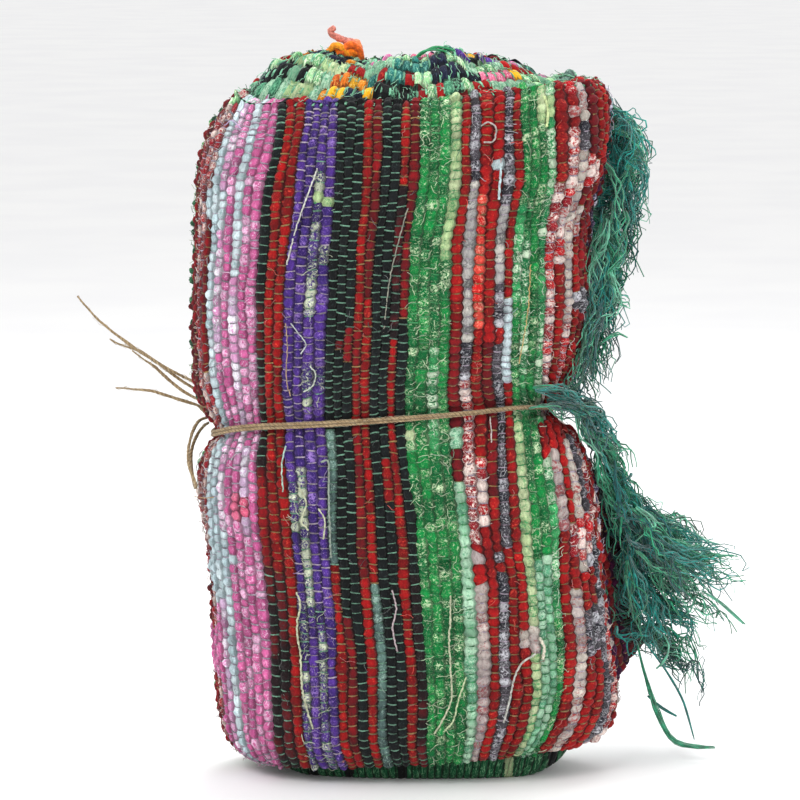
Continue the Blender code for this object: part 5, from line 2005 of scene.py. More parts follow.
STRAYS = (
    # Single threads and thin bundles below.
    StrayThread(((0.203, 0.030, 0.100), (0.210, 0.028, 0.072), (0.219, 0.024, 0.045),
                 (0.232, 0.020, 0.020), (0.248, 0.018, 0.014), (0.270, 0.016, 0.013)),
                15, 0.0015, SEA_GREEN),
    StrayThread(((0.212, 0.028, 0.056), (0.222, 0.026, 0.048), (0.238, 0.026, 0.038)),
                4, 0.0010, TEAL),
    StrayThread(((0.208, 0.030, 0.104), (0.226, 0.028, 0.080), (0.242, 0.026, 0.052),
                 (0.252, 0.024, 0.018)), 4, 0.0009, TEAL),
    StrayThread(((0.258, 0.036, 0.146), (0.276, 0.036, 0.134), (0.296, 0.036, 0.116)),
                4, 0.0010, MINT),
    StrayThread(((0.220, 0.030, 0.112), (0.229, 0.026, 0.104), (0.227, 0.024, 0.090),
                 (0.218, 0.024, 0.080)), 4, 0.0010, MINT),
    # The mat along the upper right side.
    StrayThread(((0.174, 0.000, 0.520), (0.186, -0.004, 0.542), (0.198, -0.006, 0.530),
                 (0.196, -0.006, 0.500)), 40, 0.0080, TEAL),
    StrayThread(((0.184, -0.002, 0.543), (0.198, -0.006, 0.528), (0.192, -0.008, 0.486)),
                50, 0.0085, SEA_GREEN),
    StrayThread(((0.176, -0.004, 0.532), (0.190, -0.010, 0.502), (0.186, -0.012, 0.462)),
                46, 0.0090, TEAL),
    StrayThread(((0.176, -0.010, 0.464), (0.180, -0.014, 0.432), (0.172, -0.016, 0.404)),
                46, 0.0085, SEA_GREEN),
    StrayThread(((0.172, -0.014, 0.452), (0.166, -0.018, 0.416), (0.168, -0.018, 0.384)),
                46, 0.0065, MINT),
    StrayThread(((0.168, -0.018, 0.412), (0.162, -0.022, 0.380), (0.152, -0.028, 0.346)),
                42, 0.0055, SEA_GREEN),
    StrayThread(((0.162, -0.020, 0.378), (0.150, -0.028, 0.346), (0.138, -0.038, 0.322)),
                34, 0.0045, MINT),
    StrayThread(((0.176, -0.012, 0.410), (0.187, -0.012, 0.399), (0.192, -0.012, 0.392)),
                12, 0.0022, TEAL),
    StrayThread(((0.168, -0.014, 0.366), (0.180, -0.014, 0.374), (0.190, -0.014, 0.370)),
                5, 0.0012, SEA_GREEN),
    # The tuft over the end of the twine.
    StrayThread(((0.122, -0.052, 0.326), (0.140, -0.050, 0.324), (0.158, -0.040, 0.312),
                 (0.166, -0.032, 0.296)), 56, 0.0060, TEAL),
    StrayThread(((0.124, -0.052, 0.316), (0.144, -0.046, 0.314), (0.164, -0.030, 0.308)),
                40, 0.0065, DEEP_TEAL),
    # The mat down the lower right side.
    StrayThread(((0.148, -0.038, 0.318), (0.158, -0.030, 0.294), (0.170, -0.020, 0.266)),
                46, 0.0062, DEEP_TEAL),
    StrayThread(((0.154, -0.034, 0.314), (0.168, -0.024, 0.288), (0.182, -0.012, 0.260)),
                60, 0.0078, TEAL),
    StrayThread(((0.166, -0.024, 0.288), (0.182, -0.010, 0.256), (0.194, -0.002, 0.230)),
                66, 0.0090, SEA_GREEN),
    StrayThread(((0.178, -0.012, 0.258), (0.196, -0.002, 0.224), (0.208, 0.004, 0.194)),
                80, 0.0120, TEAL),
    StrayThread(((0.186, -0.002, 0.226), (0.212, 0.006, 0.190), (0.230, 0.012, 0.158)),
                84, 0.0140, DEEP_TEAL),
    StrayThread(((0.196, 0.002, 0.206), (0.220, 0.010, 0.166), (0.234, 0.018, 0.132)),
                76, 0.0130, SEA_GREEN),
    StrayThread(((0.202, 0.010, 0.166), (0.214, 0.016, 0.136), (0.218, 0.022, 0.100)),
                44, 0.0100, TEAL),
    StrayThread(((0.182, -0.004, 0.230), (0.188, 0.000, 0.190), (0.194, 0.004, 0.150)),
                40, 0.0090, SEA_GREEN),
    StrayThread(((0.190, 0.000, 0.196), (0.196, 0.006, 0.160), (0.204, 0.012, 0.118)),
                44, 0.0100, TEAL),
    StrayThread(((0.178, 0.000, 0.150), (0.190, 0.004, 0.128), (0.206, 0.012, 0.122)),
                20, 0.0070, TEAL),
    StrayThread(((0.190, 0.006, 0.112), (0.206, 0.014, 0.104), (0.214, 0.022, 0.086)),
                40, 0.0090, BOTTLE),
    StrayThread(((0.206, 0.006, 0.198), (0.244, 0.016, 0.180), (0.284, 0.024, 0.176)),
                42, 0.0062, TEAL),
    StrayThread(((0.210, 0.008, 0.188), (0.250, 0.018, 0.168), (0.288, 0.028, 0.162)),
                42, 0.0062, SEA_GREEN),
    StrayThread(((0.212, 0.010, 0.178), (0.244, 0.020, 0.160), (0.262, 0.028, 0.140)),
                40, 0.0085, SEA_GREEN),
)


@dataclass
class WarpFringe:
    """The knot of fine cotton threads at the cloth's end, grown along the solid's locks."""

    loose: LooseEnd
    strip: float = 0.005
    strip_gap: float = 0.0013
    aim: float = 0.9
    every: float = 0.0041
    lanes: tuple[float, ...] = (0.25, 0.75)
    leaves: float = 0.011
    fan: tuple[float, ...] = (-1.4, 0.3, -0.6, 1.0, -0.2, 0.7)
    fan_turn: float = math.radians(17)
    bare: tuple[float, float] = (0.296, 0.328)
    sway: float = 0.0075
    thread: float = 0.00066
    clump: int = 6
    lock_spread: float = 0.0050
    lock_wave: float = 0.030
    stray_spread: float = 0.0048
    stray_wave: float = 0.012
    tight: float = 0.002
    mat_depth: float = 0.048
    mat_left: float = 0.156
    seed: int = 51

    def locks(self) -> list[Array]:
        """Lays the locks along the strip's seam.

        Returns:
            The middle line of every lock, from the strip outwards and down.
        """
        random = np.random.default_rng(self.seed)
        tips = np.arange(LOOSE_ROWS[0, 1] + 0.002, LOOSE_ROWS[-1, 1], self.every)
        lines = []
        for number, tip in enumerate(tips):
            for lane in self.lanes:
                height = float(np.clip(tip + random.normal(0, self.every), tips[0], tips[-1]))
                if not self.bare[0] < height < self.bare[1]:
                    fan = self.fan[number % len(self.fan)]
                    lines.append(self._lock(height, lane, fan, random))
        return lines

    def _lock(self, height: float, lane: float, fan: float,
              random: np.random.Generator) -> Array:
        """The middle line of one lock.

        Args:
            height: the height of its root at the cloth's end.
            lane: how far through the cloth its root lies, 0 to 1.
            fan: how far it turns out of the common way, in steps of fan_turn.
            random: the source of its own differences.

        Returns:
            Its points, from inside the strip to the tip.
        """
        root_height = float(np.interp(height, LOOSE_ROWS[:, 1], LOOSE_ROWS[:, 0]))
        inward = np.full(2, 0.0005 + lane * (self.loose.form.cloth - 0.001))
        ends = self.loose.point(root_height, np.array((self.aim, 1.0)) * self.loose.reach, inward)
        way = unit(ends[1] - ends[0])
        root = ends[1] + way * (self.strip_gap + self.strip)
        out, back, drop = (np.interp(height, FRINGE_ROWS[:, 0], FRINGE_ROWS[:, n])
                           for n in (1, 2, 3))
        heading = math.atan2(back, out) + self.fan_turn * (fan + random.normal(0, 0.75))
        size = random.uniform(0.42, 1.04)
        turned = np.array((math.cos(heading), math.sin(heading), 0.0))
        reach, fall = math.hypot(out, back) * size, drop * size
        falls = np.interp(height, *FALLS_FIRST)
        bends = [root]
        for leaves, far, low in ((1.0, mixed(0.35, 0.02, falls), mixed(0.0, 0.30, falls)),
                                 (0.8, mixed(0.93, 0.30, falls), mixed(0.36, 1.0, falls)),
                                 (0.6, 1.0, 1.0)):
            bends.append(root + way * self.leaves * leaves + turned * reach * far
                         - np.array((0, 0, fall * low)))
        t = np.linspace(0, 1, 11)[:, None]
        curve = ((1 - t) ** 3 * bends[0] + 3 * (1 - t) ** 2 * t * bends[1]
                 + 3 * (1 - t) * t ** 2 * bends[2] + t ** 3 * bends[3])
        for turns in (1.3, 2.9, 5.3):
            sway = random.normal(0, 1, 3) * self.sway / turns
            curve = curve + sway * smooth(t * 2.5) * np.sin(
                2 * np.pi * (turns * t + random.random()))
        return np.vstack([ends[1] - way * 0.002, curve])

    def tree(self, name: str, spread: float, wave: float) -> NodeGroup:
        """The tree that grows wavy threads round each guide line.

        Args:
            name: the tree's name.
            spread: how far the threads stand from their line at most.
            wave: how far they wander.

        Returns:
            The tree.
        """
        group = NodeGroup(name, {"Thread radius": self.thread, "Spread": spread, "Wave": wave,
                                 "Strands": self.clump})
        lines = group.add("GeometryNodeMeshToCurve", {"Mesh": group.inputs["Geometry"]}).outputs[0]
        amount = group.math("MULTIPLY", group.inputs["Strands"], group.named("strands", "FLOAT"))
        copies = group.add("GeometryNodeDuplicateElements",
                           {"Geometry": group.evened(lines, 19), "Amount": amount},
                           domain="SPLINE").outputs[0]
        each = group.add("GeometryNodeFieldOnDomain",
                         {0: group.add("GeometryNodeInputIndex").outputs[0]},
                         domain="CURVE", data_type="INT").outputs[0]
        moved = self._above_floor(group, group.moved(copies, self._offset(group, each)))
        short = group.math("MULTIPLY_ADD", group.random(-1.0, 0.0, self.seed + 3, each),
                           group.named("trim", "FLOAT"), 1.0)
        trimmed = group.add("GeometryNodeTrimCurve", {"Curve": moved, 3: short}).outputs[0]
        shade = group.random(0.62, 1.45, self.seed + 5, each)
        tint = group.scaled(group.named("tone", "FLOAT_COLOR"), shade)
        tinted = group.add("GeometryNodeStoreNamedAttribute",
                           {"Geometry": trimmed, "Name": "tone", "Value": tint},
                           data_type="FLOAT_COLOR", domain="POINT").outputs[0]
        along = group.add("GeometryNodeSplineParameter").outputs[0]
        thinner = group.ranged(along, 0.7, 1.0, 1.0, 0.6)
        radius = group.math("MULTIPLY", group.inputs["Thread radius"], thinner)
        radius = group.math("MULTIPLY", radius, group.random(0.7, 1.35, self.seed + 4, each))
        return group.finished(group.tubes(tinted, 1.0, radius))

    def _offset(self, group: NodeGroup, each: Any) -> Any:
        """How far a thread's point lies from its guide line: fanned, waved and frizzed.

        Args:
            group: the tree.
            each: the number of the thread.

        Returns:
            The field of the offsets.
        """
        place = group.add("GeometryNodeInputPosition").outputs[0]
        factor = group.add("GeometryNodeSplineParameter").outputs[0]
        size = group.named("spread", "FLOAT")
        swell = group.math("SINE", group.math("MULTIPLY", factor, 2.7))
        fanned = group.math("MULTIPLY", group.math("MULTIPLY_ADD", swell, 0.80, 0.20),
                            group.math("MULTIPLY", size, group.inputs["Spread"]))
        aside = group.random((-1.0, -1.0, -1.0), (1.0, 1.0, 1.0), self.seed, each)
        lock = group.math("MULTIPLY", group.named("lock", "FLOAT"), 3.71)
        wander = group.swirl(place, 40.0, 1.0, group.math("MULTIPLY_ADD", each, 0.045, lock))
        frizz = group.swirl(place, 48.0, 1.0, group.math("MULTIPLY", each, 2.3))
        reach = group.math("MULTIPLY", group.ranged(factor, 0.02, 0.45), group.inputs["Wave"])
        reach = group.math("MULTIPLY", reach, group.ranged(size, 0.12, 0.6, 0.10, 1.0))
        frizzed = group.math("MULTIPLY", reach, group.named("frizz", "FLOAT"))
        waved = group.vector("ADD", group.scaled(aside, fanned), group.scaled(wander, reach))
        return group.vector("ADD", waved, group.scaled(frizz, frizzed))

    @staticmethod
    def _above_floor(group: NodeGroup, lines: Any) -> Any:
        """The lines with no point under the floor."""
        x, y, z = group.parts(group.add("GeometryNodeInputPosition").outputs[0])
        above = group.point(x, y, group.math("MAXIMUM", z, 0.0010))
        return group.add("GeometryNodeSetPosition", {"Geometry": lines,
                                                     "Position": above}).outputs[0]

    def _stray_line(self, stray: StrayThread, alone: bool, random: np.random.Generator) -> Array:
        """The guide line of one clump of a stray.

        Args:
            stray: the stray.
            alone: whether it has this one clump, which then keeps to its middle line.
            random: the source of the clump's own differences.

        Returns:
            The line's points.
        """
        line = smooth_route(stray.points, 0.008)
        if alone:
            return line
        t = np.linspace(0, 1, len(line))[:, None]
        line = line + random.normal(0, 0.45, 3) * stray.spread
        line = line + (line[-1] - line[0]) * random.uniform(-0.3, 0.2)
        for turns in (0.8, 1.9):
            line = line + (random.normal(0, 1, 3) * stray.spread * 0.42 / turns
                           * np.sin(2 * np.pi * (turns * t + random.random())))
        line[:, 1] += (random.uniform(0, self.mat_depth)
                       * smooth((line[:, 0] - self.mat_left) / 0.022))
        return line

    def _lock_guides(self, random: np.random.Generator) -> tuple[list[Array], dict[str, list]]:
        """The guide lines of the locks.

        Args:
            random: the source of their differences.

        Returns:
            The lines, and their values by name.
        """
        lines = self.locks()
        tones = [(*linear(FRINGE_TONES[random.integers(len(FRINGE_TONES))]), 1.0) for _ in lines]
        return lines, {
            "tone": tones, "spread": [random.uniform(0.6, 1.3) for _ in lines],
            "strands": [1.0] * len(lines), "lock": list(range(len(lines))),
            "frizz": [random.uniform(0.5, 1.3) for _ in lines], "trim": [0.40] * len(lines)}

    def _stray_guides(self, random: np.random.Generator) -> tuple[list[Array], dict[str, list]]:
        """The guide lines of the strays, one for each clump of theirs.

        Args:
            random: the source of their differences.

        Returns:
            The lines, and their values by name.
        """
        lines, tones, spreads, strands = [], [], [], []
        for stray in STRAYS:
            clumps = 1 if stray.spread < self.tight else max(1, round(stray.strands / self.clump))
            alone = clumps == 1
            for _ in range(clumps):
                lines.append(self._stray_line(stray, alone, random))
                own = random.random() < 0.55 or alone
                tone = stray.tone if own else FRINGE_TONES[random.integers(len(FRINGE_TONES))]
                tones.append((*linear(tone), 1.0))
                spreads.append(stray.spread / self.stray_spread if alone
                               else random.uniform(0.6, 1.2))
                strands.append(stray.strands / clumps / self.clump)
        neat = [amount < 2.7 and size < 0.35 for amount, size in zip(strands, spreads)]
        return lines, {
            "tone": tones, "spread": spreads, "strands": strands,
            "lock": list(range(900, 900 + len(lines))),
            "frizz": [0.2 if one else 2.2 for one in neat],
            "trim": [0.06 if one else 0.45 for one in neat]}

    def build(self, material: bpy.types.Material) -> list[bpy.types.Object]:
        """Grows the fringe along its locks, and the strays beside them.

        Args:
            material: the threads' finish.

        Returns:
            The two pieces.
        """
        random = np.random.default_rng(self.seed + 1)
        pieces = []
        for name, (lines, values), spread, wave in (
                ("fringe_locks", self._lock_guides(random), self.lock_spread, self.lock_wave),
                ("fringe_strays", self._stray_guides(random), self.stray_spread,
                 self.stray_wave)):
            guides = guide_lines(name + "_guides", lines, values)
            piece = self.tree(name, spread, wave).grown(name, guides, material)
            pieces.append(dressed(piece, ("rug_fringe",)))
        return pieces


# Warp threads and loose fibres ---------------------------------------------------------

class GrownThreads(ABC):
    """Short threads that a tree grows, one at every noted place."""

    @abstractmethod
    def tree(self, name: str) -> NodeGroup:
        """The tree, by name, that grows a thread at every point."""

    def build(self, name: str, places: Stitches, material: bpy.types.Material,
              nodes: tuple[str, ...] = (), slot: str = "rag_weave") -> bpy.types.Object:
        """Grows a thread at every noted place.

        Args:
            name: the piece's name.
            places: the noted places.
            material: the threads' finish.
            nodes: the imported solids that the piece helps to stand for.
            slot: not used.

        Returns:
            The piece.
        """
        seeds = seeded(name + "_seeds", *places.values())
        return dressed(self.tree(name).grown(name, seeds, material), nodes)


@dataclass
class WarpThreads(GrownThreads):
    """The thin warp threads that show as short bars across the rags."""

    length: float = 0.0072
    thickness: float = 0.0016
    arch: float = 0.0010

    def tree(self, name: str) -> NodeGroup:
        """The tree that plants a bar, bent down at its ends, at every place.

        Args:
            name: the tree's name.

        Returns:
            The tree.
        """
        group = NodeGroup(name, {"Length": self.length, "Thickness": self.thickness,
                                 "Arch": self.arch})
        line = group.bar(4)
        factor = group.add("GeometryNodeSplineParameter").outputs[0]
        off = group.math("ABSOLUTE", group.math("MULTIPLY_ADD", factor, 2.0, -1.0))
        sag = group.math("MULTIPLY", group.math("POWER", off, 3.0), group.inputs["Arch"])
        bent = group.moved(line, group.point(z=group.math("MULTIPLY", sag, -1.6)))
        radius = group.math("MULTIPLY", group.inputs["Thickness"], 0.5)
        return group.finished(group.planted(group.tubes(bent, radius)))


@dataclass
class CurledFibres(GrownThreads):
    """Loose fibres that curl out of the fuzzy rags, each bent its own way."""

    length: float = 0.0085
    thickness: float = 0.00030
    bend: float = 0.0075
    bend_scale: float = 210.0

    def tree(self, name: str) -> NodeGroup:
        """The tree that plants a line at every place and bends it by the noise there.

        Args:
            name: the tree's name.

        Returns:
            The tree.
        """
        group = NodeGroup(name, {"Length": self.length, "Thickness": self.thickness,
                                 "Bend": self.bend, "Bend scale": self.bend_scale})
        lines = group.real(group.planted(group.bar(8)))
        place = group.add("GeometryNodeInputPosition").outputs[0]
        wander = group.swirl(place, group.inputs["Bend scale"], 0.5)
        bent = group.moved(lines, group.scaled(wander, group.inputs["Bend"]))
        return group.finished(group.tubes(bent, group.inputs["Thickness"]))


# The twine -----------------------------------------------------------------------------

END_A = (
    (-0.1605, 0.0337, 0.3070), (-0.1668, 0.0325, 0.3174), (-0.1730, 0.0315, 0.3256),
    (-0.1856, 0.0300, 0.3325), (-0.1982, 0.0285, 0.3393), (-0.2100, 0.0270, 0.3470),
    (-0.2218, 0.0258, 0.3546), (-0.2318, 0.0248, 0.3623), (-0.2419, 0.0240, 0.3700),
    (-0.2486, 0.0232, 0.3759), (-0.2554, 0.0225, 0.3819), (-0.2612, 0.0220, 0.3887),
    (-0.2671, 0.0215, 0.3956), (-0.2713, 0.0210, 0.4010),
)
END_B = (
    (-0.1633, 0.0376, 0.3052), (-0.1686, 0.0372, 0.3130), (-0.1730, 0.0370, 0.3188),
    (-0.1792, 0.0366, 0.3232), (-0.1856, 0.0362, 0.3274), (-0.1982, 0.0356, 0.3367),
    (-0.2052, 0.0352, 0.3424), (-0.2125, 0.0348, 0.3478), (-0.2172, 0.0346, 0.3512),
    (-0.2218, 0.0344, 0.3536), (-0.2272, 0.0342, 0.3552), (-0.2327, 0.0340, 0.3568),
    (-0.2375, 0.0338, 0.3588), (-0.2419, 0.0336, 0.3606), (-0.2453, 0.0336, 0.3630),
)
END_C = (
    (-0.1664, 0.0352, 0.3033), (-0.1688, 0.0360, 0.3074), (-0.1720, 0.0372, 0.3112),
    (-0.1786, 0.0394, 0.3144), (-0.1856, 0.0412, 0.3184), (-0.1920, 0.0426, 0.3232),
    (-0.1982, 0.0438, 0.3284), (-0.2034, 0.0446, 0.3332), (-0.2083, 0.0453, 0.3376),
    (-0.2134, 0.0459, 0.3412), (-0.2184, 0.0464, 0.3444), (-0.2232, 0.0468, 0.3480),
    (-0.2276, 0.0472, 0.3514),
)
END_D = (
    (-0.1648, 0.0305, 0.3002), (-0.1682, 0.0290, 0.3042), (-0.1716, 0.0276, 0.3074),
    (-0.1802, 0.0250, 0.3106), (-0.1890, 0.0228, 0.3137), (-0.1986, 0.0208, 0.3172),
    (-0.2083, 0.0190, 0.3205), (-0.2150, 0.0180, 0.3216), (-0.2218, 0.0172, 0.3222),
    (-0.2274, 0.0166, 0.3228), (-0.2334, 0.0160, 0.3236), (-0.2394, 0.0156, 0.3238),
)
LOOP = (
    (-0.1632, 0.0281, 0.2968), (-0.1684, 0.0222, 0.2958), (-0.1718, 0.0156, 0.2928),
    (-0.1750, 0.0066, 0.2862), (-0.1770, -0.0036, 0.2776), (-0.1774, -0.0130, 0.2696),
    (-0.1758, -0.0218, 0.2624), (-0.1730, -0.0284, 0.2566), (-0.1706, -0.0306, 0.2508),
    (-0.1700, -0.0276, 0.2464), (-0.1708, -0.0222, 0.2450), (-0.1722, -0.0166, 0.2480),
    (-0.1738, -0.0114, 0.2538), (-0.1752, -0.0058, 0.2618), (-0.1756, 0.0012, 0.2702),
    (-0.1736, 0.0096, 0.2786), (-0.1700, 0.0186, 0.2856), (-0.1656, 0.0256, 0.2902),
    (-0.1624, 0.0300, 0.2920),
)


class CordEnd(Enum):
    """What is at the far end of a free stretch of twine."""

    FRAYED = "bare"
    BACK_IN_THE_KNOT = "object"


class FreeTwine(NamedTuple):
    """A free stretch of twine: its name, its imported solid, its route and its far end."""

    name: str
    node: str
    route: tuple[tuple[float, float, float], ...]
    end: CordEnd


FREE_TWINES = (
    FreeTwine("twine_long_end", "twine_end_a", END_A, CordEnd.FRAYED),
    FreeTwine("twine_curled_end", "twine_end_b", END_B, CordEnd.FRAYED),
    FreeTwine("twine_back_end", "twine_end_c", END_C, CordEnd.FRAYED),
    FreeTwine("twine_low_end", "twine_end_d", END_D, CordEnd.FRAYED),
    FreeTwine("twine_bow", "twine_loop", LOOP, CordEnd.BACK_IN_THE_KNOT),
)


@dataclass
class JuteTwine:
    """Doubled jute twine round the waist, its knot, its bow and its four free ends."""

    form: RollForm
    jute: bpy.types.Material
    strand: float = 0.0029
    free_strand: float = 0.0028
    spacing: float = 0.0011
    twist: float = 0.0075
    spread: float = 0.95
    wrap_turn: float = math.radians(76)
    wrap_front: float = 0.55
    drops: float = 0.12
    loose_reach: float = 0.050
    knot_size: float = 0.0021
    knot_strand: float = 0.0034
    hair: float = 0.00013
    hair_length: float = 0.0060
    hair_bend: float = 0.0040
    hair_colour: Rgb = (178, 158, 124)
    seed: int = 61

    def free(self) -> list[bpy.types.Object]:
        """Returns:
            The pieces.
        """
        pieces = []
        for twine in FREE_TWINES:
            line = smooth_route(twine.route, self.spacing)
            run = np.linspace(0, 1, len(line))
            frayed = twine.end is CordEnd.FRAYED
            radii = np.full(len(line), self.free_strand / 2)
            if frayed:
                radii *= 1 - 0.50 * smooth((run - 0.55) / 0.45)
            random = np.random.default_rng(self.seed + len(pieces))
            knobs = np.interp(run, np.linspace(0, 1, 16), random.normal(1, 0.09, 16))
            parts = strand_mesh(line, radii * np.clip(knobs, 0.85, 1.12), 8, self.twist)
            piece = dressed(parts.made(twine.name, self.jute), (twine.node,))
            pieces.append(piece)
        return pieces

    def wrap_lines(self) -> list[Array]:
        """Winds the twine round the waist.

        Returns:
            The middle lines of its two strands.
        """
        row = self.form.row(TIED_PLACE)
        angles, lengths, _ = self.form.arcs(row)
        radius = self.strand / 2
        share = np.linspace(0, 1, round(lengths[-1] / self.spacing))
        angle = np.interp(share * lengths[-1], lengths, angles)
        lean = self.wrap_turn * (1 - np.cos(2 * np.pi * (share - self.wrap_front))) / 2
        past_the_end = smooth((share - self.loose_reach / lengths[-1]) / self.drops)
        drop = self.form.ledge(share) * past_the_end
        reach = radius * (1 + np.abs(np.sin(lean)))
        out = self.form.rib_rise / 2 + self.form.swell + 2 * self.form.gap + reach - drop
        middle = self.form.settled(self.form.outline(row, angle, out))
        ahead = unit(np.gradient(middle, axis=0))
        away = unit(np.stack([ahead[:, 1], -ahead[:, 0], np.zeros(len(ahead))], -1))
        axis = away * np.sin(lean)[:, None] + np.array((0, 0, 1.0)) * np.cos(lean)[:, None]
        return [middle + axis * end * radius * self.spread for end in (1, -1)]

    def tied(self) -> list[bpy.types.Object]:
        """Builds the wrap round the waist and the knot.

        Returns:
            The two pieces.
        """
        lines = self.wrap_lines()
        wrap = joined([strand_mesh(line, np.full(len(line), self.strand / 2), 8, self.twist,
                                   capped=False) for line in lines])
        turn = np.linspace(0, 2 * np.pi, 90)
        knot = np.stack([np.sin(turn) + 2 * np.sin(2 * turn), -np.sin(3 * turn) * 1.5,
                         np.cos(turn) - 2 * np.cos(2 * turn)], -1)
        knot = knot * self.knot_size + np.array(KNOT)
        ball = knot[::-1] * (1, 1, -1) + (0, 0, 2 * KNOT[2])
        turns = joined([strand_mesh(line, np.full(len(line), self.knot_strand / 2), 8, self.twist,
                                    capped=False) for line in (knot, ball)])
        return [dressed(parts.made(name, self.jute), (node,))
                for parts, name, node in ((wrap, "twine_strands", "twine_wrap"),
                                          (turns, "twine_tie", "twine_knot"))]

    def hairs(self, material: bpy.types.Material) -> bpy.types.Object:
        """Grows the short stray hairs of the jute.

        Args:
            material: the hairs' finish.

        Returns:
            The piece.
        """
        random = np.random.default_rng(self.seed + 9)
        noted = Stitches()
        routes = [(smooth_route(twine.route, 0.002), 1.1) for twine in FREE_TWINES]
        routes += [(line[::2], 0.8) for line in self.wrap_lines()]
        for line, often in routes:
            count = int(len(line) * often)
            at = random.integers(1, len(line) - 1, count)
            ahead = unit(np.gradient(line, axis=0))[at]
            side = unit(np.cross(ahead, random.normal(0, 1, (count, 3))))
            out = unit(side + ahead * random.uniform(-0.6, 0.6, (count, 1)))
            tones = linear(self.hair_colour) * random.uniform(0.6, 1.3, (count, 1))
            noted.add(line[at] + side * self.free_strand * 0.45, side, unit(out + ahead * 0.8),
                      tones, random.uniform(0.5, 1.5, count))
        maker = CurledFibres(self.hair_length, self.hair, self.hair_bend)
        return maker.build("twine_hairs", noted, material, slot="jute_twine")


# Loose rags and strands ----------------------------------------------------------------

class SurfaceStrand(NamedTuple):
    """A loose strand on the front: places across and high, its radius and its colour."""

    places: tuple[tuple[float, float], ...]
    radius: float
    tone: Rgb


CREAM = (196, 200, 168)
CHALK = (196, 196, 188)
SURFACE_STRANDS = (
    SurfaceStrand(((-0.066, 0.516), (-0.073, 0.497), (-0.083, 0.469), (-0.091, 0.438)),
                  0.0013, (206, 206, 196)),
    SurfaceStrand(((0.006, 0.484), (0.000, 0.462), (-0.006, 0.438), (-0.010, 0.415),
                   (-0.013, 0.383)), 0.0010, (150, 150, 136)),
    SurfaceStrand(((-0.092, 0.390), (-0.091, 0.367), (-0.092, 0.345), (-0.089, 0.329)),
                  0.0009, (176, 148, 118)),
    SurfaceStrand(((-0.093, 0.287), (-0.096, 0.271), (-0.095, 0.250)), 0.0012, (176, 206, 190)),
    SurfaceStrand(((-0.064, 0.275), (-0.058, 0.275), (-0.058, 0.251), (-0.057, 0.222),
                   (-0.056, 0.197)), 0.0016, (148, 160, 148)),
    SurfaceStrand(((-0.084, 0.167), (-0.081, 0.157), (-0.084, 0.137), (-0.081, 0.114),
                   (-0.080, 0.088), (-0.075, 0.066), (-0.071, 0.052)), 0.0016, CREAM),
    SurfaceStrand(((-0.082, 0.254), (-0.076, 0.241), (-0.080, 0.227), (-0.074, 0.219)),
                  0.0015, CREAM),
    SurfaceStrand(((-0.066, 0.237), (-0.061, 0.227), (-0.062, 0.212)), 0.0013, CREAM),
    SurfaceStrand(((0.041, 0.168), (0.041, 0.148), (0.040, 0.127), (0.041, 0.107), (0.042, 0.079),
                   (0.034, 0.059), (0.028, 0.049)), 0.0015, CREAM),
    SurfaceStrand(((0.054, 0.097), (0.048, 0.079), (0.044, 0.061), (0.036, 0.051)),
                  0.0013, (200, 214, 170)),
    SurfaceStrand(((0.111, 0.115), (0.099, 0.107), (0.093, 0.094), (0.089, 0.074), (0.085, 0.058)),
                  0.0016, CHALK),
    SurfaceStrand(((0.096, 0.355), (0.102, 0.389), (0.104, 0.412), (0.105, 0.437)),
                  0.0009, (196, 168, 110)),
    SurfaceStrand(((0.074, 0.280), (0.074, 0.297), (0.073, 0.310)), 0.0011, (206, 196, 190)),
    SurfaceStrand(((-0.080, 0.365), (-0.076, 0.373), (-0.082, 0.382), (-0.088, 0.390)),
                  0.0010, (198, 204, 200)),
    SurfaceStrand(((-0.073, 0.355), (-0.068, 0.348), (-0.071, 0.338), (-0.078, 0.333)),
                  0.0012, (196, 204, 190)),
    SurfaceStrand(((0.065, 0.550), (0.071, 0.553), (0.077, 0.548), (0.075, 0.538), (0.067, 0.537)),
                  0.0013, (178, 172, 166)),
    SurfaceStrand(((0.081, 0.516), (0.080, 0.504), (0.079, 0.491)), 0.0019, (190, 212, 216)),
    SurfaceStrand(((0.116, 0.573), (0.119, 0.560), (0.118, 0.549)), 0.0022, (206, 222, 160)),
    SurfaceStrand(((0.146, 0.565), (0.150, 0.556), (0.148, 0.546)), 0.0022, (216, 222, 214)),
    SurfaceStrand(((0.114, 0.128), (0.118, 0.120), (0.117, 0.110)), 0.0026, (222, 216, 196)),
    SurfaceStrand(((-0.006, 0.170), (-0.003, 0.154), (-0.006, 0.138), (-0.002, 0.119)),
                  0.0013, (190, 172, 176)),
    SurfaceStrand(((-0.128, 0.546), (-0.136, 0.552), (-0.142, 0.548)), 0.0009, (196, 176, 214)),
    SurfaceStrand(((-0.170, 0.237), (-0.161, 0.239), (-0.153, 0.241)), 0.0008, (176, 146, 104)),
)


# The orange rag end on top: places across, deep and up from its seat, with half thickness.
RAG_TAIL = np.array((
    (-0.062, 0.004, 0.0066, 0.0030), (-0.058, 0.003, 0.0072, 0.0056),
    (-0.050, 0.001, 0.0076, 0.0070), (-0.042, 0.000, 0.0082, 0.0072),
    (-0.036, 0.001, 0.0098, 0.0058), (-0.036, 0.003, 0.0142, 0.0044),
    (-0.042, 0.005, 0.0160, 0.0036), (-0.050, 0.005, 0.0190, 0.0032),
    (-0.056, 0.004, 0.0222, 0.0030), (-0.0575, 0.003, 0.0256, 0.0028),
    (-0.054, 0.002, 0.0280, 0.0024)))
RAG_SEAT = 0.5984
ORANGE = (238, 122, 22)
SALMON = (200, 124, 110)
WARP_GREEN = (48, 138, 88)


class RagLoop(NamedTuple):
    """A loop of orange rag beside the tail: its route and its colour."""

    route: tuple[tuple[float, float, float], ...]
    tone: Rgb


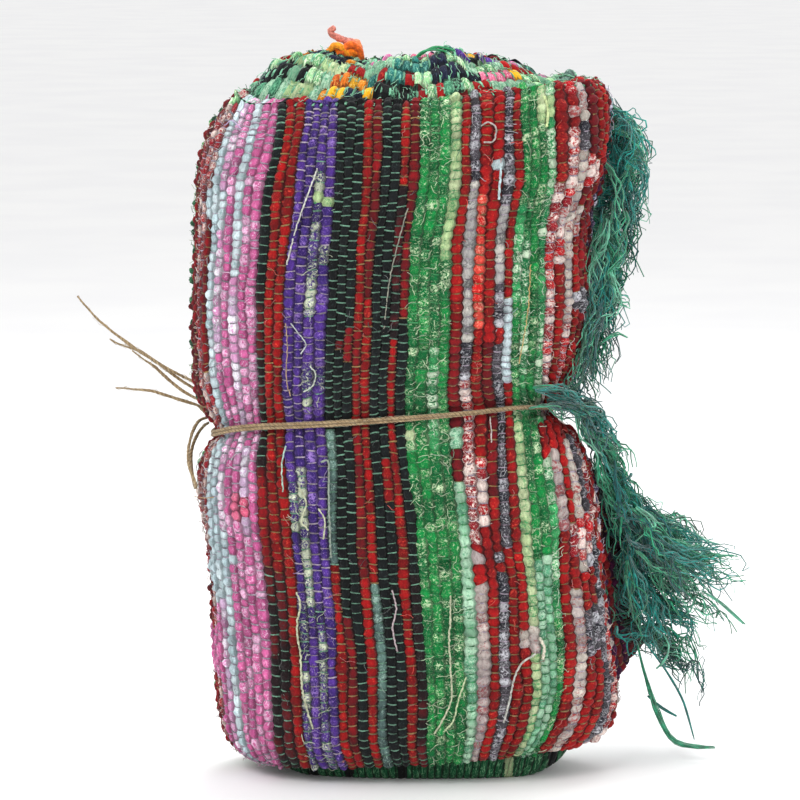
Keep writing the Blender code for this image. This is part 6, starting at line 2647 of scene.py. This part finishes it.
RAG_LOOPS = (
    RagLoop(((-0.060, -0.002, 0.604), (-0.054, -0.006, 0.612), (-0.046, -0.006, 0.609),
             (-0.042, -0.002, 0.602)), (244, 150, 30)),
    RagLoop(((-0.050, -0.004, 0.603), (-0.042, -0.007, 0.613), (-0.034, -0.004, 0.609),
             (-0.032, 0.0, 0.601)), (226, 100, 26)))
# The green warp threads that lie over the top.
WARP_TAIL = (((0.014, -0.016, 0.603), (0.024, -0.016, 0.6095), (0.036, -0.014, 0.6105),
              (0.050, -0.012, 0.6060)),
             ((0.012, -0.018, 0.602), (0.020, -0.018, 0.6080), (0.034, -0.017, 0.6085),
              (0.046, -0.015, 0.6030)),
             ((0.016, -0.014, 0.604), (0.028, -0.013, 0.6110), (0.042, -0.012, 0.6090),
              (0.056, -0.010, 0.6030)))


def toned(parts: MeshParts, tone: Array) -> MeshParts:
    """The same mesh with one tone, or one for each point, as its only value."""
    parts.point_values = {"tone": opaque(np.broadcast_to(tone, parts.points.shape))}
    return parts


@dataclass
class LooseRags:
    """The strands, blobs and rag ends that have worked loose from the cloth."""

    form: RollForm
    strand_out: float = 0.0018
    strand_size: float = 0.56
    strand_dark: float = 0.82
    tail_lobes: int = 5
    tail_sides: int = 14
    pale_from: float = 4.0
    pale_reach: float = 2.2
    loop_radius: float = 0.0030
    warp_radius: float = 0.0011
    seed: int = 71

    def strands(self, material: bpy.types.Material) -> bpy.types.Object:
        """Builds the strands that lie on the front of the cloth.

        Args:
            material: their finish.

        Returns:
            The piece.
        """
        random = np.random.default_rng(self.seed)
        parts = []
        for strand in SURFACE_STRANDS:
            across, high = np.array(strand.places).T
            line = smooth_route(self.form.front_at(across, high, self.strand_out), 0.0016)
            line[:, 1] += 0.0004 * random.normal(0, 1, len(line))
            line[:, 0] += 0.00022 * random.normal(0, 1, len(line))
            uneven = np.clip(random.normal(1, 0.12, len(line)), 0.6, 1.3)
            parts.append(toned(strand_mesh(line, strand.radius * self.strand_size * uneven, 7,
                                           0.006, depth=0.2),
                               linear(strand.tone) * self.strand_dark))
        return dressed(joined(parts).made("rug_strands", material), ("rug_roll",))

    def rag_tail(self, material: bpy.types.Material) -> bpy.types.Object:
        """Builds the orange rag end with its paler curled tail, and the loops beside it.

        Args:
            material: its finish.

        Returns:
            The piece.
        """
        line = smooth_route(RAG_TAIL[:, :3] + (0, 0, RAG_SEAT), 0.0009)
        run = np.linspace(0, len(RAG_TAIL) - 1, len(line))
        random = np.random.default_rng(self.seed + 2)
        radii = np.interp(run, np.arange(len(RAG_TAIL)), RAG_TAIL[:, 3])
        radii = radii * np.clip(random.normal(1, 0.05, len(line)), 0.88, 1.12)
        share = smooth((run - self.pale_from) / self.pale_reach)[:, None]
        tones = mixed(linear(ORANGE), linear(SALMON), np.pad(share, ((1, 1), (0, 0)), "edge"))
        tail = strand_mesh(line, radii, self.tail_sides, 0.030, self.tail_lobes, 0.22)
        parts = [toned(tail, np.repeat(tones, self.tail_sides, 0))]
        for loop in RAG_LOOPS:
            route = smooth_route(loop.route, 0.0010)
            radii = np.full(len(route), self.loop_radius)
            parts.append(toned(strand_mesh(route, radii, 12, 0.02, 4, 0.22), linear(loop.tone)))
        for loop in WARP_TAIL:
            route = smooth_route(loop, 0.0010)
            radii = np.full(len(route), self.warp_radius)
            parts.append(toned(strand_mesh(route, radii, 6, 0.006), linear(WARP_GREEN)))
        return dressed(joined(parts).made("rag_tail", material), ("rag_end",))


# The studio ----------------------------------------------------------------------------

class Lamp(NamedTuple):
    """A soft square lamp: its place, its side in metres and its power in watts."""

    name: str
    place: tuple[float, float, float]
    side: float
    power: float


LAMPS = (Lamp("key", (-1.1, -2.0, 2.1), 1.2, 34.0), Lamp("fill", (1.9, -1.7, 1.3), 1.6, 8.0),
         Lamp("top", (0.2, 0.6, 2.4), 1.2, 36.0))


@dataclass
class Studio:
    """A plain pale floor, soft light and the camera at the photograph's angle."""

    distance: float = 3.0
    elevation: float = math.radians(8.0)
    aim_height: float = 0.3157
    lens: float = 161.0
    sensor: float = 36.0
    floor_box: tuple[float, float, float] = (60.0, -9.0, 90.0)
    lit_height: float = 0.3
    sky: float = 0.92

    def camera(self) -> bpy.types.Object:
        """Places the camera.

        Returns:
            The camera.
        """
        data = bpy.data.cameras.new("camera")
        data.lens, data.sensor_width = self.lens, self.sensor
        camera = linked(bpy.data.objects.new("camera", data))
        aim = Vector((0.0, 0.0, self.aim_height)) + Vector(SHIFT)
        way = Vector((0.0, -math.cos(self.elevation), math.sin(self.elevation)))
        camera.location = aim + way * self.distance
        camera.rotation_euler = (-way).to_track_quat("-Z", "Y").to_euler()
        bpy.context.scene.camera = camera
        return camera

    def floor(self) -> bpy.types.Object:
        """Lays the floor, which reaches far behind the roll.

        Returns:
            The floor.
        """
        side, front, back = self.floor_box
        mesh = bpy.data.meshes.new("floor")
        mesh.from_pydata([(-side, front, 0), (side, front, 0), (side, back, 0), (-side, back, 0)],
                         [], [(0, 1, 2, 3)])
        nodes = MaterialTree("studio_floor")
        grain = nodes.ranged(nodes.noise(nodes.place(), 3.0, 2.0), 0.3, 0.7)
        mesh.materials.append(nodes.finished({
            "Base Color": nodes.mix(grain, rgba((247, 247, 248)), rgba((251, 251, 251))),
            "Roughness": 0.9}))
        floor = linked(bpy.data.objects.new("floor", mesh))
        return floor

    def light(self) -> None:
        """Sets the sky and three soft lamps."""
        world = bpy.data.worlds.new("studio")
        bpy.context.scene.world = world
        world.use_nodes = True
        NodeTree(world.node_tree).fill(world.node_tree.nodes["Background"],
                                       {0: (1.0, 1.0, 1.0, 1.0), 1: self.sky})
        bpy.context.scene.view_settings.view_transform = "Standard"
        for kind in LAMPS:
            data = bpy.data.lights.new(kind.name, "AREA")
            data.size, data.energy = kind.side, kind.power
            lamp = linked(bpy.data.objects.new(kind.name, data))
            lamp.location = Vector(kind.place)
            way = Vector((0, 0, self.lit_height)) - lamp.location
            lamp.rotation_euler = way.to_track_quat("-Z", "Y").to_euler()


def main() -> None:
    """Builds every sub-assembly in order and reports each piece."""
    logging.basicConfig(level=logging.INFO, format="%(message)s")
    form = RollForm()
    studio = Studio()
    studio.camera()
    twine = JuteTwine(form, JuteFinish().material())
    twine.free()
    twine.tied()
    studio.floor()
    studio.light()
    cloth = RagCloth().material()
    threads = ThreadFinish("warp_thread").material()
    fibres = ThreadFinish("loose_fibre", sheen=0.5).material()
    fringe_finish = ThreadFinish("fringe_cotton", sheen=0.34, scale=150.0, dark=0.55).material()
    rag_finish = ThreadFinish("loose_rag", scale=420.0, dark=0.66, light=1.2).material()
    twine.hairs(fibres)
    outer = OuterTurn(form, cloth)
    outer.build()
    weave = outer.weave
    TopSelvedges(form, cloth, weave.stitches, weave.curls).build(outer)
    BaseFolds(form, cloth).build(outer)
    WarpThreads().build("rug_warps", weave.stitches, threads, ("rug_roll",))
    CurledFibres().build("rug_fuzz", weave.curls, fibres, ("rug_roll",))
    loose = LooseEnd(form, cloth)
    flap = loose.build()
    flap_warps = WarpThreads().build("flap_warps", loose.weave.stitches, threads,
                                     ("rug_loose_end",))
    fringe = WarpFringe(loose).build(fringe_finish)
    rags = LooseRags(form)
    rags.strands(rag_finish)
    rags.rag_tail(rag_finish)


if __name__ == "__main__":
    main()
